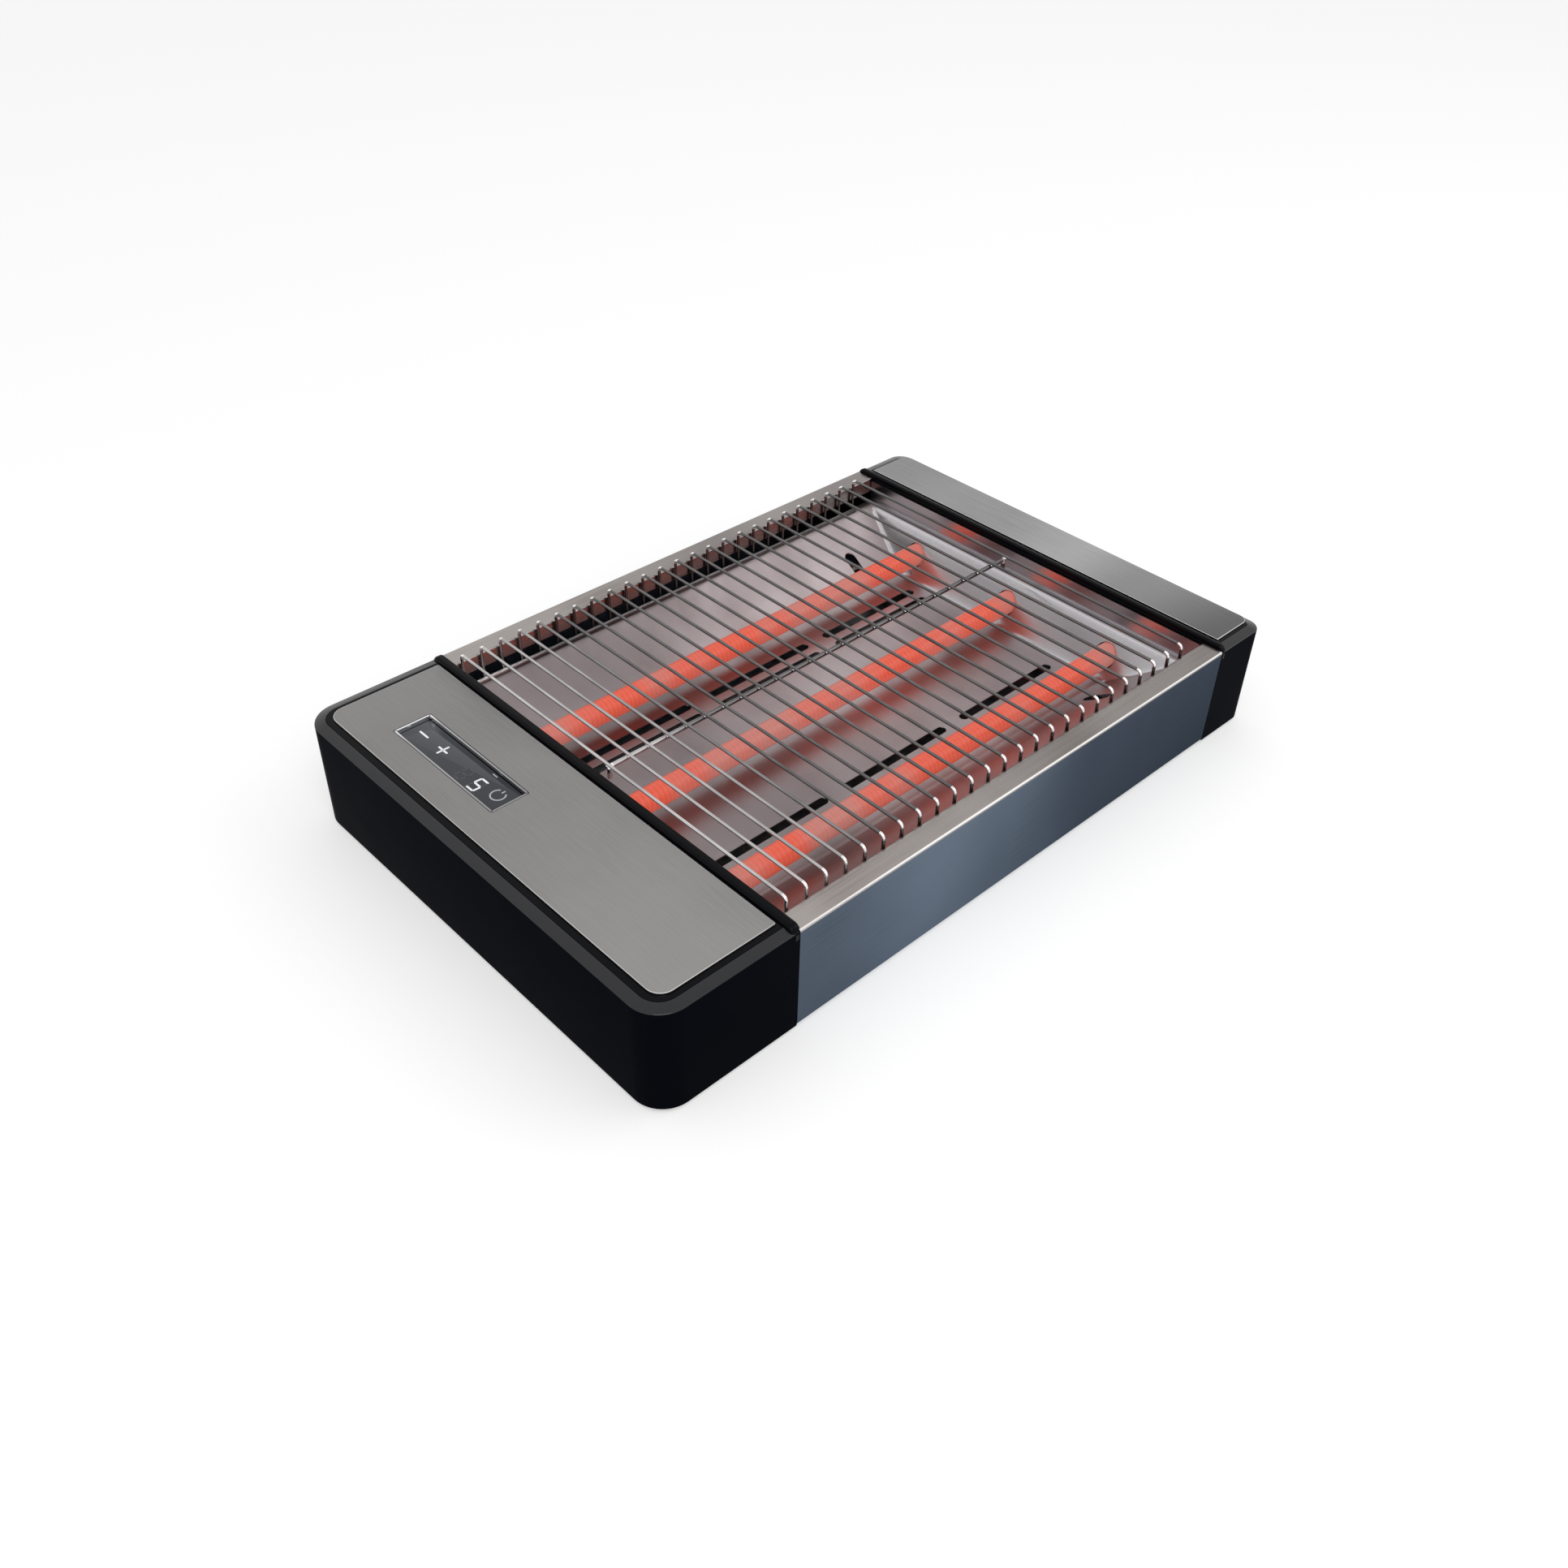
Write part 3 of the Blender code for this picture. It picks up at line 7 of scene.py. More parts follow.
import bpy
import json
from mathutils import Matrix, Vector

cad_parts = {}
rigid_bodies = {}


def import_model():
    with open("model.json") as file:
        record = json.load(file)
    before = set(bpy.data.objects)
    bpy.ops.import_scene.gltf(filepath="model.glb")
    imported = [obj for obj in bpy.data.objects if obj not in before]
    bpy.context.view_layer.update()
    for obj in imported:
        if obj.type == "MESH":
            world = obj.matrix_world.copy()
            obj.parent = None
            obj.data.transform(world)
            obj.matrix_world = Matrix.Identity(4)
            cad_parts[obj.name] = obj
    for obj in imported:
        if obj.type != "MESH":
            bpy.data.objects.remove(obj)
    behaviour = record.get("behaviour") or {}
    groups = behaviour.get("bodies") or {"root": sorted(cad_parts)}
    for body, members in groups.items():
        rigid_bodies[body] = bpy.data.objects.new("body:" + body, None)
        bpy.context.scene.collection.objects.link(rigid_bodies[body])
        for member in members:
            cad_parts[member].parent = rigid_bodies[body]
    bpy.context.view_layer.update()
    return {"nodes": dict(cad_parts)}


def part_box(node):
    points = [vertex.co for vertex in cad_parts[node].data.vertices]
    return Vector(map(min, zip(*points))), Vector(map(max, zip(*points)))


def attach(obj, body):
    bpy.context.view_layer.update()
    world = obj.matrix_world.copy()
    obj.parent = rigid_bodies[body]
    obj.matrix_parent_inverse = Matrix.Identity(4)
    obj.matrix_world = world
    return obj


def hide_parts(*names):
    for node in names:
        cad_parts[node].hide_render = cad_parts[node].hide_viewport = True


for leftover in list(bpy.data.objects):
    bpy.data.objects.remove(leftover, do_unlink=True)
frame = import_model()
nodes = frame["nodes"]
print("nodes in the frame:", len(nodes))

# %% Blender's own modules
import json
import math
from contextlib import contextmanager

import bmesh
from mathutils import Quaternion, Vector

scene = bpy.context.scene
scene.view_settings.view_transform = "Standard"

# %% [markdown]
# ## Sizes
# Places come from the frame, so that each new piece sits exactly where its solid does. Only the
# small sizes that a box can't tell, such as a wall or an edge radius, are written here.

# %% Clearances and small sizes
FIT = 0.0003
RUNNING_GAP = 0.0006
OVERRUN = 0.002
NEAR = 1e-6
SHELL_WALL = 0.0025
print("fit", FIT, "wall", SHELL_WALL)

# %% Levels and seams, read from the frame
body_low, body_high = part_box("front_side_panel")
control_low, control_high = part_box("control_housing")
plate_low, plate_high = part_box("control_plate")
CONTROL_SEAM = body_low.x - FIT
FAR_SEAM = body_high.x + FIT
HALF_WIDTH = control_high.y
BOTTOM = control_low.z
FLANGE_TOP = body_high.z
HOUSING_TOP = plate_low.z - FIT
LIP_TOP = control_high.z
print("seams at", round(CONTROL_SEAM, 4), round(FAR_SEAM, 4), "lip top", round(LIP_TOP, 4))

# %% [markdown]
# ## Camera
# The photograph was taken from the control end's front corner, looking down at about 39 degrees.
# The place, the point aimed at and the small roll were worked out from the edges of the housings.

# %% Camera
CAMERA_PLACE = Vector((-0.4161, -0.4134, 0.4632))
CAMERA_AIM = Vector((-0.0458, -0.0328, 0.0300))
CAMERA_ROLL = math.radians(1.466)
CAMERA_LENS = 34.27
CAMERA_SENSOR = 36.0

camera_data = bpy.data.cameras.new("photo_camera")
camera_data.lens = CAMERA_LENS
camera_data.sensor_width = CAMERA_SENSOR
camera = bpy.data.objects.new("photo_camera", camera_data)
scene.collection.objects.link(camera)
look = (CAMERA_AIM - CAMERA_PLACE).to_track_quat("-Z", "Y")
camera.rotation_mode = "QUATERNION"
camera.rotation_quaternion = look @ Quaternion((0, 0, 1), CAMERA_ROLL)
camera.location = CAMERA_PLACE
scene.camera = camera
print("camera at", tuple(round(v, 3) for v in camera.location))

# %% [markdown]
# ## Nodes for materials
# A material is a small graph. These helpers add a node, set its sockets and link it, so that each
# finish below reads as a short recipe. Constants go straight on the shader, because an exporter
# can only read them there.

# %% Helpers for node graphs
MIX_SOCKETS = (0, 6, 7)
MIX_RESULT = 2


def feed(tree, node, **inputs):
    """Links or sets sockets of a node, each by its name."""
    for key, value in inputs.items():
        socket = node.inputs[key.replace("_", " ")]
        if isinstance(value, bpy.types.NodeSocket):
            tree.links.new(value, socket)
        else:
            socket.default_value = value
    return node


def add_node(tree, kind, settings=None, **inputs):
    """Adds a node. Settings are its own properties, and inputs its sockets by name."""
    node = tree.nodes.new("ShaderNode" + kind)
    for key, value in (settings or {}).items():
        setattr(node, key, value)
    return feed(tree, node, **inputs)


def mix_colours(tree, share, first, second, blend="MIX"):
    """A colour from two others, by a share from 0 to 1."""
    node = add_node(tree, "Mix", {"data_type": "RGBA", "blend_type": blend})
    for socket, value in zip(MIX_SOCKETS, (share, first, second)):
        if isinstance(value, bpy.types.NodeSocket):
            tree.links.new(value, node.inputs[socket])
        else:
            node.inputs[socket].default_value = value if socket == 0 else (*value, 1.0)
    return node.outputs[MIX_RESULT]


def calculate(tree, operation, first, second, clamp=False):
    """The sum or product of two sockets."""
    node = add_node(tree, "Math", {"operation": operation, "use_clamp": clamp})
    tree.links.new(first, node.inputs[0])
    tree.links.new(second, node.inputs[1])
    return node.outputs[0]


def own_place(tree):
    """Places on the piece, in its own coordinates."""
    return add_node(tree, "TexCoord").outputs["Object"]


def stretch_noise(tree, scale, stretch=(1.0, 1.0, 1.0), detail=4.0):
    """Noise on the piece's own coordinates, stretched along some axes."""
    placed = add_node(tree, "Mapping", Vector=own_place(tree), Scale=stretch).outputs["Vector"]
    return add_node(tree, "TexNoise", Vector=placed, Scale=scale, Detail=detail).outputs["Fac"]


def remap(tree, value, low, high, start=0.3, end=0.7):
    """Carries a pattern's middle range over to a range of values."""
    ends = {"From_Min": start, "From_Max": end, "To_Min": low, "To_Max": high}
    return add_node(tree, "MapRange", Value=value, **ends).outputs["Result"]


def add_bump(tree, shader, height, strength, distance):
    """Turns a pattern into a fine relief."""
    bump = add_node(tree, "Bump", Height=height, Strength=strength, Distance=distance)
    feed(tree, shader, Normal=bump.outputs["Normal"])

# %% Helper for a new finish
FINISHES = {}


def new_finish(name, colour, roughness, metallic=0.0, specular=0.5):
    """A material with a Principled shader. Returns its tree and the shader."""
    matter = bpy.data.materials.new(name)
    matter.use_nodes = True
    matter.diffuse_color = (*colour, 1.0)
    tree = matter.node_tree
    shader = feed(
        tree, tree.nodes["Principled BSDF"], Base_Color=(*colour, 1.0), Roughness=roughness,
        Metallic=metallic, Specular_IOR_Level=specular,
    )
    FINISHES[name] = matter
    return tree, shader

# %% [markdown]
# ## Moulded plastics
# The housings are black mouldings: satin on their walls, glossy on the chamfer, and a darker satin
# on the lip and the ring round the plate, its darker colour painted shade. Fine noise gives the
# satin its moulded grain, and a slow noise varies the gloss.

# %% Plastics
SHADE_SCALE = 25.0
GLOSS_SCALE = 60.0
LIGHTER_SHADE = 1.35
PLASTIC_GLOSS = (0.9, 1.12)
GRAIN_STRENGTH = 0.25


def plastic(name, colour, roughness, specular, grain, relief):
    """A moulded plastic with a little grain and an uneven gloss."""
    tree, shader = new_finish(name, colour, roughness, specular=specular)
    lighter = [LIGHTER_SHADE * part for part in colour]
    shade = mix_colours(tree, stretch_noise(tree, SHADE_SCALE), colour, lighter)
    low, high = (share * roughness for share in PLASTIC_GLOSS)
    gloss = remap(tree, stretch_noise(tree, GLOSS_SCALE), low, high)
    feed(tree, shader, Base_Color=shade, Roughness=gloss)
    add_bump(tree, shader, stretch_noise(tree, grain), GRAIN_STRENGTH, relief)


plastic("satin_black", (0.0024, 0.0028, 0.0046), 0.34, 0.003, 2600.0, 0.00003)
plastic("gloss_black", (0.0060, 0.0064, 0.0080), 0.16, 0.42, 900.0, 0.00001)
# A darker copy of the satin for the lip and the ring round the plate, painted shade.
plastic("painted_shade_black", (0.0016, 0.0018, 0.0026), 0.20, 0.07, 900.0, 0.00001)
plastic("cover_black", (0.0120, 0.0120, 0.0130), 0.55, 0.30, 1800.0, 0.00008)
plastic("rubber_black", (0.0160, 0.0160, 0.0160), 0.75, 0.25, 3500.0, 0.00006)
plastic("case_white", (0.6800, 0.6900, 0.7000), 0.45, 0.50, 900.0, 0.00003)
plastic("case_blue", (0.0300, 0.1000, 0.3500), 0.40, 0.50, 900.0, 0.00003)
plastic("tape_yellow", (0.7000, 0.4800, 0.0600), 0.40, 0.50, 300.0, 0.00005)
plastic("ceramic_white", (0.7200, 0.7000, 0.6400), 0.60, 0.40, 1200.0, 0.00006)
print("plastics:", len(FINISHES))

# %% [markdown]
# ## Metals
# Brushed steel is a long-stretched noise that changes both colour and roughness along the lines of
# the brush. The same recipe with little stretch and a low roughness gives the polished pieces. The
# long pieces also change tone from end to end, as the studio lights them, and a ramp along the
# piece paints that light and shade into their colour.

# %% Metals
ALONG_X = (0.02, 1.0, 1.0)
ALONG_Y = (1.0, 0.02, 1.0)
ALL_WAYS = (1.0, 1.0, 1.0)
LINE_DETAIL = 6.0
DRIFT_DETAIL = 2.0
METAL_GLOSS = (0.85, 1.2)
LINE_STRENGTH = 0.2


def paint_light_along(tree, colour, axis, places, levels):
    """Paints light and shade into a colour along one axis of the piece, from place to place."""
    first, last = places[0], places[-1]
    parts = add_node(tree, "SeparateXYZ", Vector=own_place(tree))
    ramp = add_node(
        tree, "ValToRGB", Fac=remap(tree, parts.outputs[axis], 0.0, 1.0, first, last)
    )
    ramp.color_ramp.interpolation = "EASE"
    knots = ramp.color_ramp.elements
    while len(knots) < len(places):
        knots.new(0.5)
    for knot, spot, level in zip(list(knots), places, levels):
        knot.position = (spot - first) / (last - first)
        knot.color = (level, level, level, 1.0)
    return mix_colours(tree, 1.0, colour, ramp.outputs["Color"], "MULTIPLY")


def metal(name, dark, light, roughness, stretch, scale, relief, broad=12.0, painted_sheen=None, rim=1.0):
    """A metal whose fine lines follow the stretch, over a slow drift between two colours."""
    tree, shader = new_finish(name, light, roughness, metallic=1.0)
    lines = stretch_noise(tree, scale, stretch, LINE_DETAIL)
    drift = remap(tree, stretch_noise(tree, broad, ALL_WAYS, DRIFT_DETAIL), 0.0, 1.0)
    colour = mix_colours(tree, calculate(tree, "MULTIPLY", lines, drift), light, dark)
    # The painted sheen is studio light and shade painted into the colour along the piece.
    if painted_sheen:
        colour = paint_light_along(tree, colour, *painted_sheen)
    low, high = (share * roughness for share in METAL_GLOSS)
    gloss = remap(tree, lines, low, high)
    feed(tree, shader, Base_Color=colour, Roughness=gloss, Specular_Tint=(rim, rim, rim, 1.0))
    add_bump(tree, shader, lines, LINE_STRENGTH, relief)


# The plate steel is painted a little lighter at its front end and darker at the back, painted
# shade.
metal("plate_steel", (0.195, 0.197, 0.197), (0.300, 0.293, 0.287), 0.38, ALONG_Y, 2600.0, 0.00002,
      painted_sheen=("Y", (-0.12, 0.12), (1.05, 0.84)))
# Panel and flange are one steel, painted as a shaded wall and a lit flange, each with painted light
# and shade along it.
metal("painted_shade_panel_steel", (0.095, 0.120, 0.155), (0.140, 0.172, 0.222), 0.34, ALONG_X, 1600.0, 0.00002,
      14.0, ("X", (-0.125, -0.045, 0.0, 0.065, 0.16), (0.84, 1.18, 1.04, 0.62, 0.56)), 0.36)
# A copy of the plate steel with painted light: dark at its front end and lit bright in its middle.
metal("painted_light_far_plate_steel", (0.200, 0.200, 0.202), (0.295, 0.290, 0.290), 0.38, ALONG_Y, 2600.0,
      0.00002, painted_sheen=("Y", (-0.12, -0.06, -0.015, 0.04, 0.12), (0.46, 1.0, 1.46, 1.16, 0.93)))
metal("painted_light_flange_steel", (0.180, 0.152, 0.136), (0.340, 0.315, 0.302), 0.26, ALONG_X, 900.0, 0.00001,
      16.0, ("X", (-0.125, -0.03, 0.05, 0.09, 0.16), (1.20, 1.04, 0.80, 0.91, 0.80)))
# The pan steel is painted lighter towards the far end, painted light.
metal("pan_steel", (0.130, 0.100, 0.097), (0.270, 0.235, 0.240), 0.34, ALL_WAYS, 30.0, 0.00001,
      14.0, ("X", (-0.12, -0.06, 0.04, 0.15), (1.15, 1.15, 1.95, 1.75)))
# A bright copy of the steel for the end strips and the pan's sloping ends, painted light.
metal("painted_light_strip_steel", (0.44, 0.42, 0.44), (0.60, 0.58, 0.60), 0.22, ALONG_Y, 60.0, 0.000002)
# A bright copy of the steel: a painted highlight on the plates' cut edges and the panels' upper
# fold.
metal("painted_highlight_steel", (0.50, 0.49, 0.49), (0.75, 0.74, 0.73), 0.20, ALONG_Y, 400.0, 0.00001)
# The lining is painted bright at its +Y end and darker elsewhere, a painted reflection.
metal("bezel_steel", (0.60, 0.60, 0.62), (0.85, 0.85, 0.86), 0.14, ALONG_Y, 400.0, 0.00001,
      12.0, ("Y", (0.010, 0.075, 0.086), (0.40, 0.50, 1.0)))
# The wire chrome is painted bright at the control end and darker beyond, painted reflection and
# shade.
metal("wire_chrome", (0.26, 0.25, 0.25), (0.62, 0.60, 0.60), 0.16, ALONG_Y, 200.0, 0.00001, 60.0,
      ("X", (-0.125, -0.095, -0.065, 0.16), (1.0, 0.80, 0.26, 0.24)))
# A bright copy of the chrome: painted highlights on the bends and welds.
metal("painted_highlight_chrome", (0.60, 0.58, 0.58), (0.92, 0.90, 0.90), 0.10, ALONG_Y, 200.0, 0.00001, 60.0)
metal("zinc_plated", (0.30, 0.31, 0.33), (0.50, 0.52, 0.54), 0.42, ALL_WAYS, 240.0, 0.00003, 40.0)
print("finishes so far:", len(FINISHES))

# %% [markdown]
# ## Glass, light and the small finishes inside
# The display is smoked glass with white signs, a dim power sign and line, and segments that are
# off. The tubes glow: their colour is also given off as light, stronger where the winding behind
# the frosted quartz is hottest.

# %% Glass and signs
GLASS_ROUGHNESS = 0.06
SIGN_ROUGHNESS = 0.3
CLOUD_SCALE = 40.0
CLOUD = (0.92, 1.05)


def display_finish(name, colour, glow):
    """Smoked glass, or a sign in it that gives off its own light."""
    tree, shader = new_finish(name, colour, GLASS_ROUGHNESS if glow == 0 else SIGN_ROUGHNESS)
    cloud = remap(tree, stretch_noise(tree, CLOUD_SCALE), *CLOUD)
    shade = mix_colours(tree, 1.0, colour, cloud, "MULTIPLY")
    feed(tree, shader, Base_Color=shade, Emission_Color=(*colour, 1.0), Emission_Strength=glow)


display_finish("smoked_glass", (0.022, 0.024, 0.034), 0.0)
display_finish("sign_white", (0.80, 0.80, 0.84), 0.20)
display_finish("sign_dim", (0.42, 0.42, 0.46), 0.05)
display_finish("sign_faint", (0.040, 0.042, 0.056), 0.0)

# %% Hot quartz and windings
COIL_PITCH = 0.0026
BANDS_PER_TURN = 20.0
BAND_SHARE = 0.35
PATCH_SCALE = 26.0
PATCH_STRETCH = (1.0, 0.4, 0.4)
PATCH_EDGES = (0.38, 0.62)
HOT_ROUGHNESS = 0.28
HOT_SPECULAR = 0.3


def hot_finish(name, cool, warm, hot, glow):
    """A glowing surface: slow hot and cool stretches, with fine bands where the winding lies."""
    tree, shader = new_finish(name, warm, HOT_ROUGHNESS, specular=HOT_SPECULAR)
    scale = 2 * math.pi / (BANDS_PER_TURN * COIL_PITCH)
    bands = add_node(tree, "TexWave", {"bands_direction": "X"}, Vector=own_place(tree), Scale=scale)
    slow = remap(tree, stretch_noise(tree, PATCH_SCALE, PATCH_STRETCH, 1.0), 0.0, 1.0, *PATCH_EDGES)
    turns = remap(tree, bands.outputs["Fac"], 0.0, BAND_SHARE, 0.0, 1.0)
    banded = mix_colours(tree, turns, mix_colours(tree, slow, cool, warm), hot)
    feed(tree, shader, Base_Color=banded, Emission_Color=banded, Emission_Strength=glow)


hot_finish("glowing_quartz", (0.40, 0.17, 0.15), (0.60, 0.085, 0.050), (0.70, 0.13, 0.075), 0.50)
hot_finish("hot_wire", (0.90, 0.20, 0.06), (1.00, 0.30, 0.08), (1.00, 0.45, 0.15), 1.6)

# %% Circuit boards and woven sleeves
TRACKS_PER_METRE = 260.0
TRACK_EDGES = (0.05, 0.12)
WEAVE_SCALE = 110.0
tree, shader = new_finish("board_green", (0.02, 0.16, 0.06), 0.45)
cells = add_node(
    tree, "TexVoronoi", {"feature": "DISTANCE_TO_EDGE"},
    Vector=own_place(tree), Scale=TRACKS_PER_METRE,
)
tracks = remap(tree, cells.outputs["Distance"], 0.0, 1.0, *TRACK_EDGES)
feed(tree, shader, Base_Color=mix_colours(tree, tracks, (0.05, 0.24, 0.09), (0.012, 0.11, 0.04)))

tree, shader = new_finish("sleeve_glass", (0.62, 0.60, 0.55), 0.8)
weave = add_node(
    tree, "TexWave", {"bands_direction": "DIAGONAL"},
    Vector=own_place(tree), Scale=WEAVE_SCALE, Distortion=1.5,
).outputs["Fac"]
feed(tree, shader, Base_Color=mix_colours(tree, weave, (0.50, 0.48, 0.43), (0.70, 0.68, 0.63)))
add_bump(tree, shader, weave, 0.5, 0.0002)
print("finishes in all:", len(FINISHES))

# %% [markdown]
# ## Tools for modelling
# New pieces are made as by hand: add a primitive at its size and place, go into edit mode, select
# by place, and bevel, inset, extrude or cut. These helpers are those hand moves.

# %% Start a piece
FINE_SIDES = 48
MEDIUM_SIDES = 40
COARSE_SIDES = 24


def only(obj):
    """Selects one object and nothing else, and makes it the active one."""
    bpy.ops.object.select_all(action="DESELECT")
    obj.select_set(True)
    bpy.context.view_layer.objects.active = obj


def new_piece(name, add, **settings):
    """Adds a primitive, names it, and puts its place and size into its mesh."""
    bpy.ops.object.select_all(action="DESELECT")
    add(**settings)
    obj = bpy.context.object
    obj.name = name
    obj.data.name = name
    bpy.ops.object.transform_apply(location=True, rotation=True, scale=True)
    return obj


def cube(name, first, second):
    """A box between two opposite corners."""
    low = Vector([min(pair) for pair in zip(first, second)])
    high = Vector([max(pair) for pair in zip(first, second)])
    add = bpy.ops.mesh.primitive_cube_add
    return new_piece(name, add, size=1, location=(low + high) / 2, scale=high - low)


def disc(name, radius, sides, place):
    """A round face that looks up, to be drawn out to a wire."""
    add = bpy.ops.mesh.primitive_circle_add
    return new_piece(name, add, vertices=sides, radius=radius, fill_type="NGON", location=place)


def cylinder(name, axis, spot, start, end, radius, sides, caps="NGON"):
    """A cylinder along an axis through a spot, from one place on the axis to another."""
    first, last = Vector(spot), Vector(spot)
    first["XYZ".index(axis)], last["XYZ".index(axis)] = start, end
    run = last - first
    return new_piece(
        name, bpy.ops.mesh.primitive_cylinder_add, vertices=sides, radius=radius,
        depth=run.length, end_fill_type=caps, location=(first + last) / 2,
        rotation=run.to_track_quat("Z", "Y").to_euler(),
    )

# %% Work in edit mode
FLAT = 0.9


@contextmanager
def editing(obj):
    """Edit mode on one object, with nothing selected at the start."""
    only(obj)
    bpy.ops.object.mode_set(mode="EDIT")
    bpy.ops.mesh.select_all(action="DESELECT")
    yield
    bpy.ops.object.mode_set(mode="OBJECT")


def same(first, second):
    return abs(first - second) < NEAR


def pick_edges(obj, test):
    """Selects the edges whose two ends the test accepts."""
    bpy.ops.mesh.select_mode(type="EDGE")
    bpy.ops.mesh.select_all(action="DESELECT")
    mesh = bmesh.from_edit_mesh(obj.data)
    for edge in mesh.edges:
        edge.select_set(bool(test(edge.verts[0].co, edge.verts[1].co)))
    bmesh.update_edit_mesh(obj.data)


def pick_level(obj, axis, level):
    """Selects the edges that lie at one level of an axis."""
    place = "XYZ".index(axis)
    pick_edges(obj, lambda a, b: same(a[place], level) and same(b[place], level))


def pick_faces(obj, test):
    """Selects the faces whose middle and normal the test accepts."""
    bpy.ops.mesh.select_mode(type="FACE")
    bpy.ops.mesh.select_all(action="DESELECT")
    mesh = bmesh.from_edit_mesh(obj.data)
    mesh.normal_update()
    for face in mesh.faces:
        face.select_set(bool(test(face.calc_center_median(), face.normal)))
    bmesh.update_edit_mesh(obj.data)


def pick_top(obj):
    """Selects the faces that look up."""
    pick_faces(obj, lambda middle, normal: normal.z > FLAT)


def round_picked(radius, steps):
    bpy.ops.mesh.bevel(offset=radius, segments=steps, profile=0.5, affect="EDGES")


def round_upright(obj, radius, steps):
    """Rounds the upright edges of a block."""
    with editing(obj):
        pick_edges(obj, lambda a, b: not same(a.z, b.z))
        round_picked(radius, steps)
    return obj


def pull(value):
    """Draws what is selected out by a shift."""
    bpy.ops.mesh.extrude_region_move(TRANSFORM_OT_translate={"value": value})


def face_outward(merge=False):
    """Turns all faces outward, after merging the points that meet where that is asked for."""
    bpy.ops.mesh.select_all(action="SELECT")
    if merge:
        bpy.ops.mesh.remove_doubles(threshold=NEAR)
    bpy.ops.mesh.normals_make_consistent(inside=False)

# %% Modifiers, cuts and joins
def apply_modifier(obj, kind, **settings):
    """Adds a modifier and applies it at once."""
    only(obj)
    modifier = obj.modifiers.new(kind.lower(), kind)
    for key, value in settings.items():
        setattr(modifier, key, value)
    bpy.ops.object.modifier_apply(modifier=modifier.name)


def thicken(obj, sheet, offset=-1.0):
    """Gives an open form the thickness of its sheet: inward, or outward with 1.0."""
    apply_modifier(obj, "SOLIDIFY", thickness=sheet, offset=offset, use_even_offset=True)


def cut(obj, tool, operation="DIFFERENCE"):
    """Cuts a tool from a piece, and throws the tool away."""
    apply_modifier(obj, "BOOLEAN", operation=operation, object=tool, solver="EXACT")
    bpy.data.objects.remove(tool, do_unlink=True)


def fuse(obj, tool):
    """Makes a tool a part of the piece."""
    cut(obj, tool, "UNION")


def join(first, *others):
    """Makes several objects one piece."""
    only(first)
    for other in others:
        other.select_set(True)
    bpy.ops.object.join()
    return first

# %% Finish a piece
SMOOTH_ANGLE = 32.0
WIRE_SMOOTH_ANGLE = 50.0


def finish_piece(obj, finish, body="body", replaced=(), angle=SMOOTH_ANGLE):
    """Smooths a piece, gives it its finish, and hangs it on its body."""
    only(obj)
    bpy.ops.object.shade_smooth_by_angle(angle=math.radians(angle))
    if finish:
        obj.data.materials.clear()
        obj.data.materials.append(FINISHES[finish])
    if replaced:
        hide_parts(*replaced)
    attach(obj, body)
    print(obj.name, "has", len(obj.data.polygons), "faces")
    return obj


def finish_faces(obj, finishes, choose, node, angle=SMOOTH_ANGLE):
    """Gives each face the finish whose number choose returns, and finishes the piece."""
    for finish in finishes:
        obj.data.materials.append(FINISHES[finish])
    for face in obj.data.polygons:
        face.material_index = choose(face)
    finish_piece(obj, None, replaced=(node,), angle=angle)

# %% [markdown]
# ## End housings
# Each housing is a black moulded box with two round upright corners, a shallow chamfer round its
# top and a raised lip along the seam. It is made as a longer block, bevelled all round, and cut off
# at the seam, so that the chamfer runs out there without a corner. A smaller copy of the same form
# hollows it out.

# %% Housing sizes
CONTROL_CORNER_RADIUS = 0.015
FAR_CORNER_RADIUS = 0.008
CORNER_STEPS = 16
CHAMFER_INSET = 0.0050
CHAMFER_DROP = 0.0012
CREASE_RADIUS = 0.0005
CREASE_STEPS = 3
INNER_CHAMFER_SHARE = 1 - SHELL_WALL * (
    CHAMFER_INSET + CHAMFER_DROP - math.hypot(CHAMFER_INSET, CHAMFER_DROP)
) / (CHAMFER_INSET * CHAMFER_DROP)
PAST_SEAM_RADII = 3


def housing_form(name, outer, seam, radius, margin, top, chamfer_share, crease):
    """The outer form of a housing, or the form of its hollow when a margin is given."""
    outward = math.copysign(1.0, outer - seam)
    wall = outer - outward * margin
    end = seam + outward * margin
    past = end - outward * PAST_SEAM_RADII * radius
    side = HALF_WIDTH - margin
    bottom = BOTTOM - (OVERRUN if margin else 0)
    drop = CHAMFER_DROP * chamfer_share
    form = cube(name, (wall, -side, bottom), (past, side, top - drop))
    with editing(form):
        pick_edges(form, lambda a, b: not same(a.z, b.z))
        round_picked(radius - margin, CORNER_STEPS)
        pick_top(form)
        bpy.ops.mesh.inset(thickness=CHAMFER_INSET * chamfer_share, use_even_offset=True)
        bpy.ops.transform.translate(value=(0, 0, drop))
        if crease:
            pick_edges(form, lambda a, b: same(a.z, b.z) and a.z > top - drop - NEAR)
            round_picked(crease, CREASE_STEPS)
        bpy.ops.mesh.select_all(action="SELECT")
        bpy.ops.mesh.bisect(
            plane_co=(end, 0, 0), plane_no=(-outward, 0, 0), clear_outer=True, use_fill=True
        )
    return form

# %% [markdown]
# The lip is a bar over the seam that turns down over both sides. On the control end it also reaches
# over the steel flange, so a step is cut under it there.

# %% Lip
LIP_THICKNESS = 0.0037
LIP_CORNER_RADIUS = 0.004
LIP_CORNER_STEPS = 12
LIP_FOOT = HOUSING_TOP - CHAMFER_DROP - LIP_CORNER_RADIUS
LIP_TROUGH_RADIUS = 0.0012
LIP_PLATE_RADIUS = 0.0016
LIP_STEPS = 8


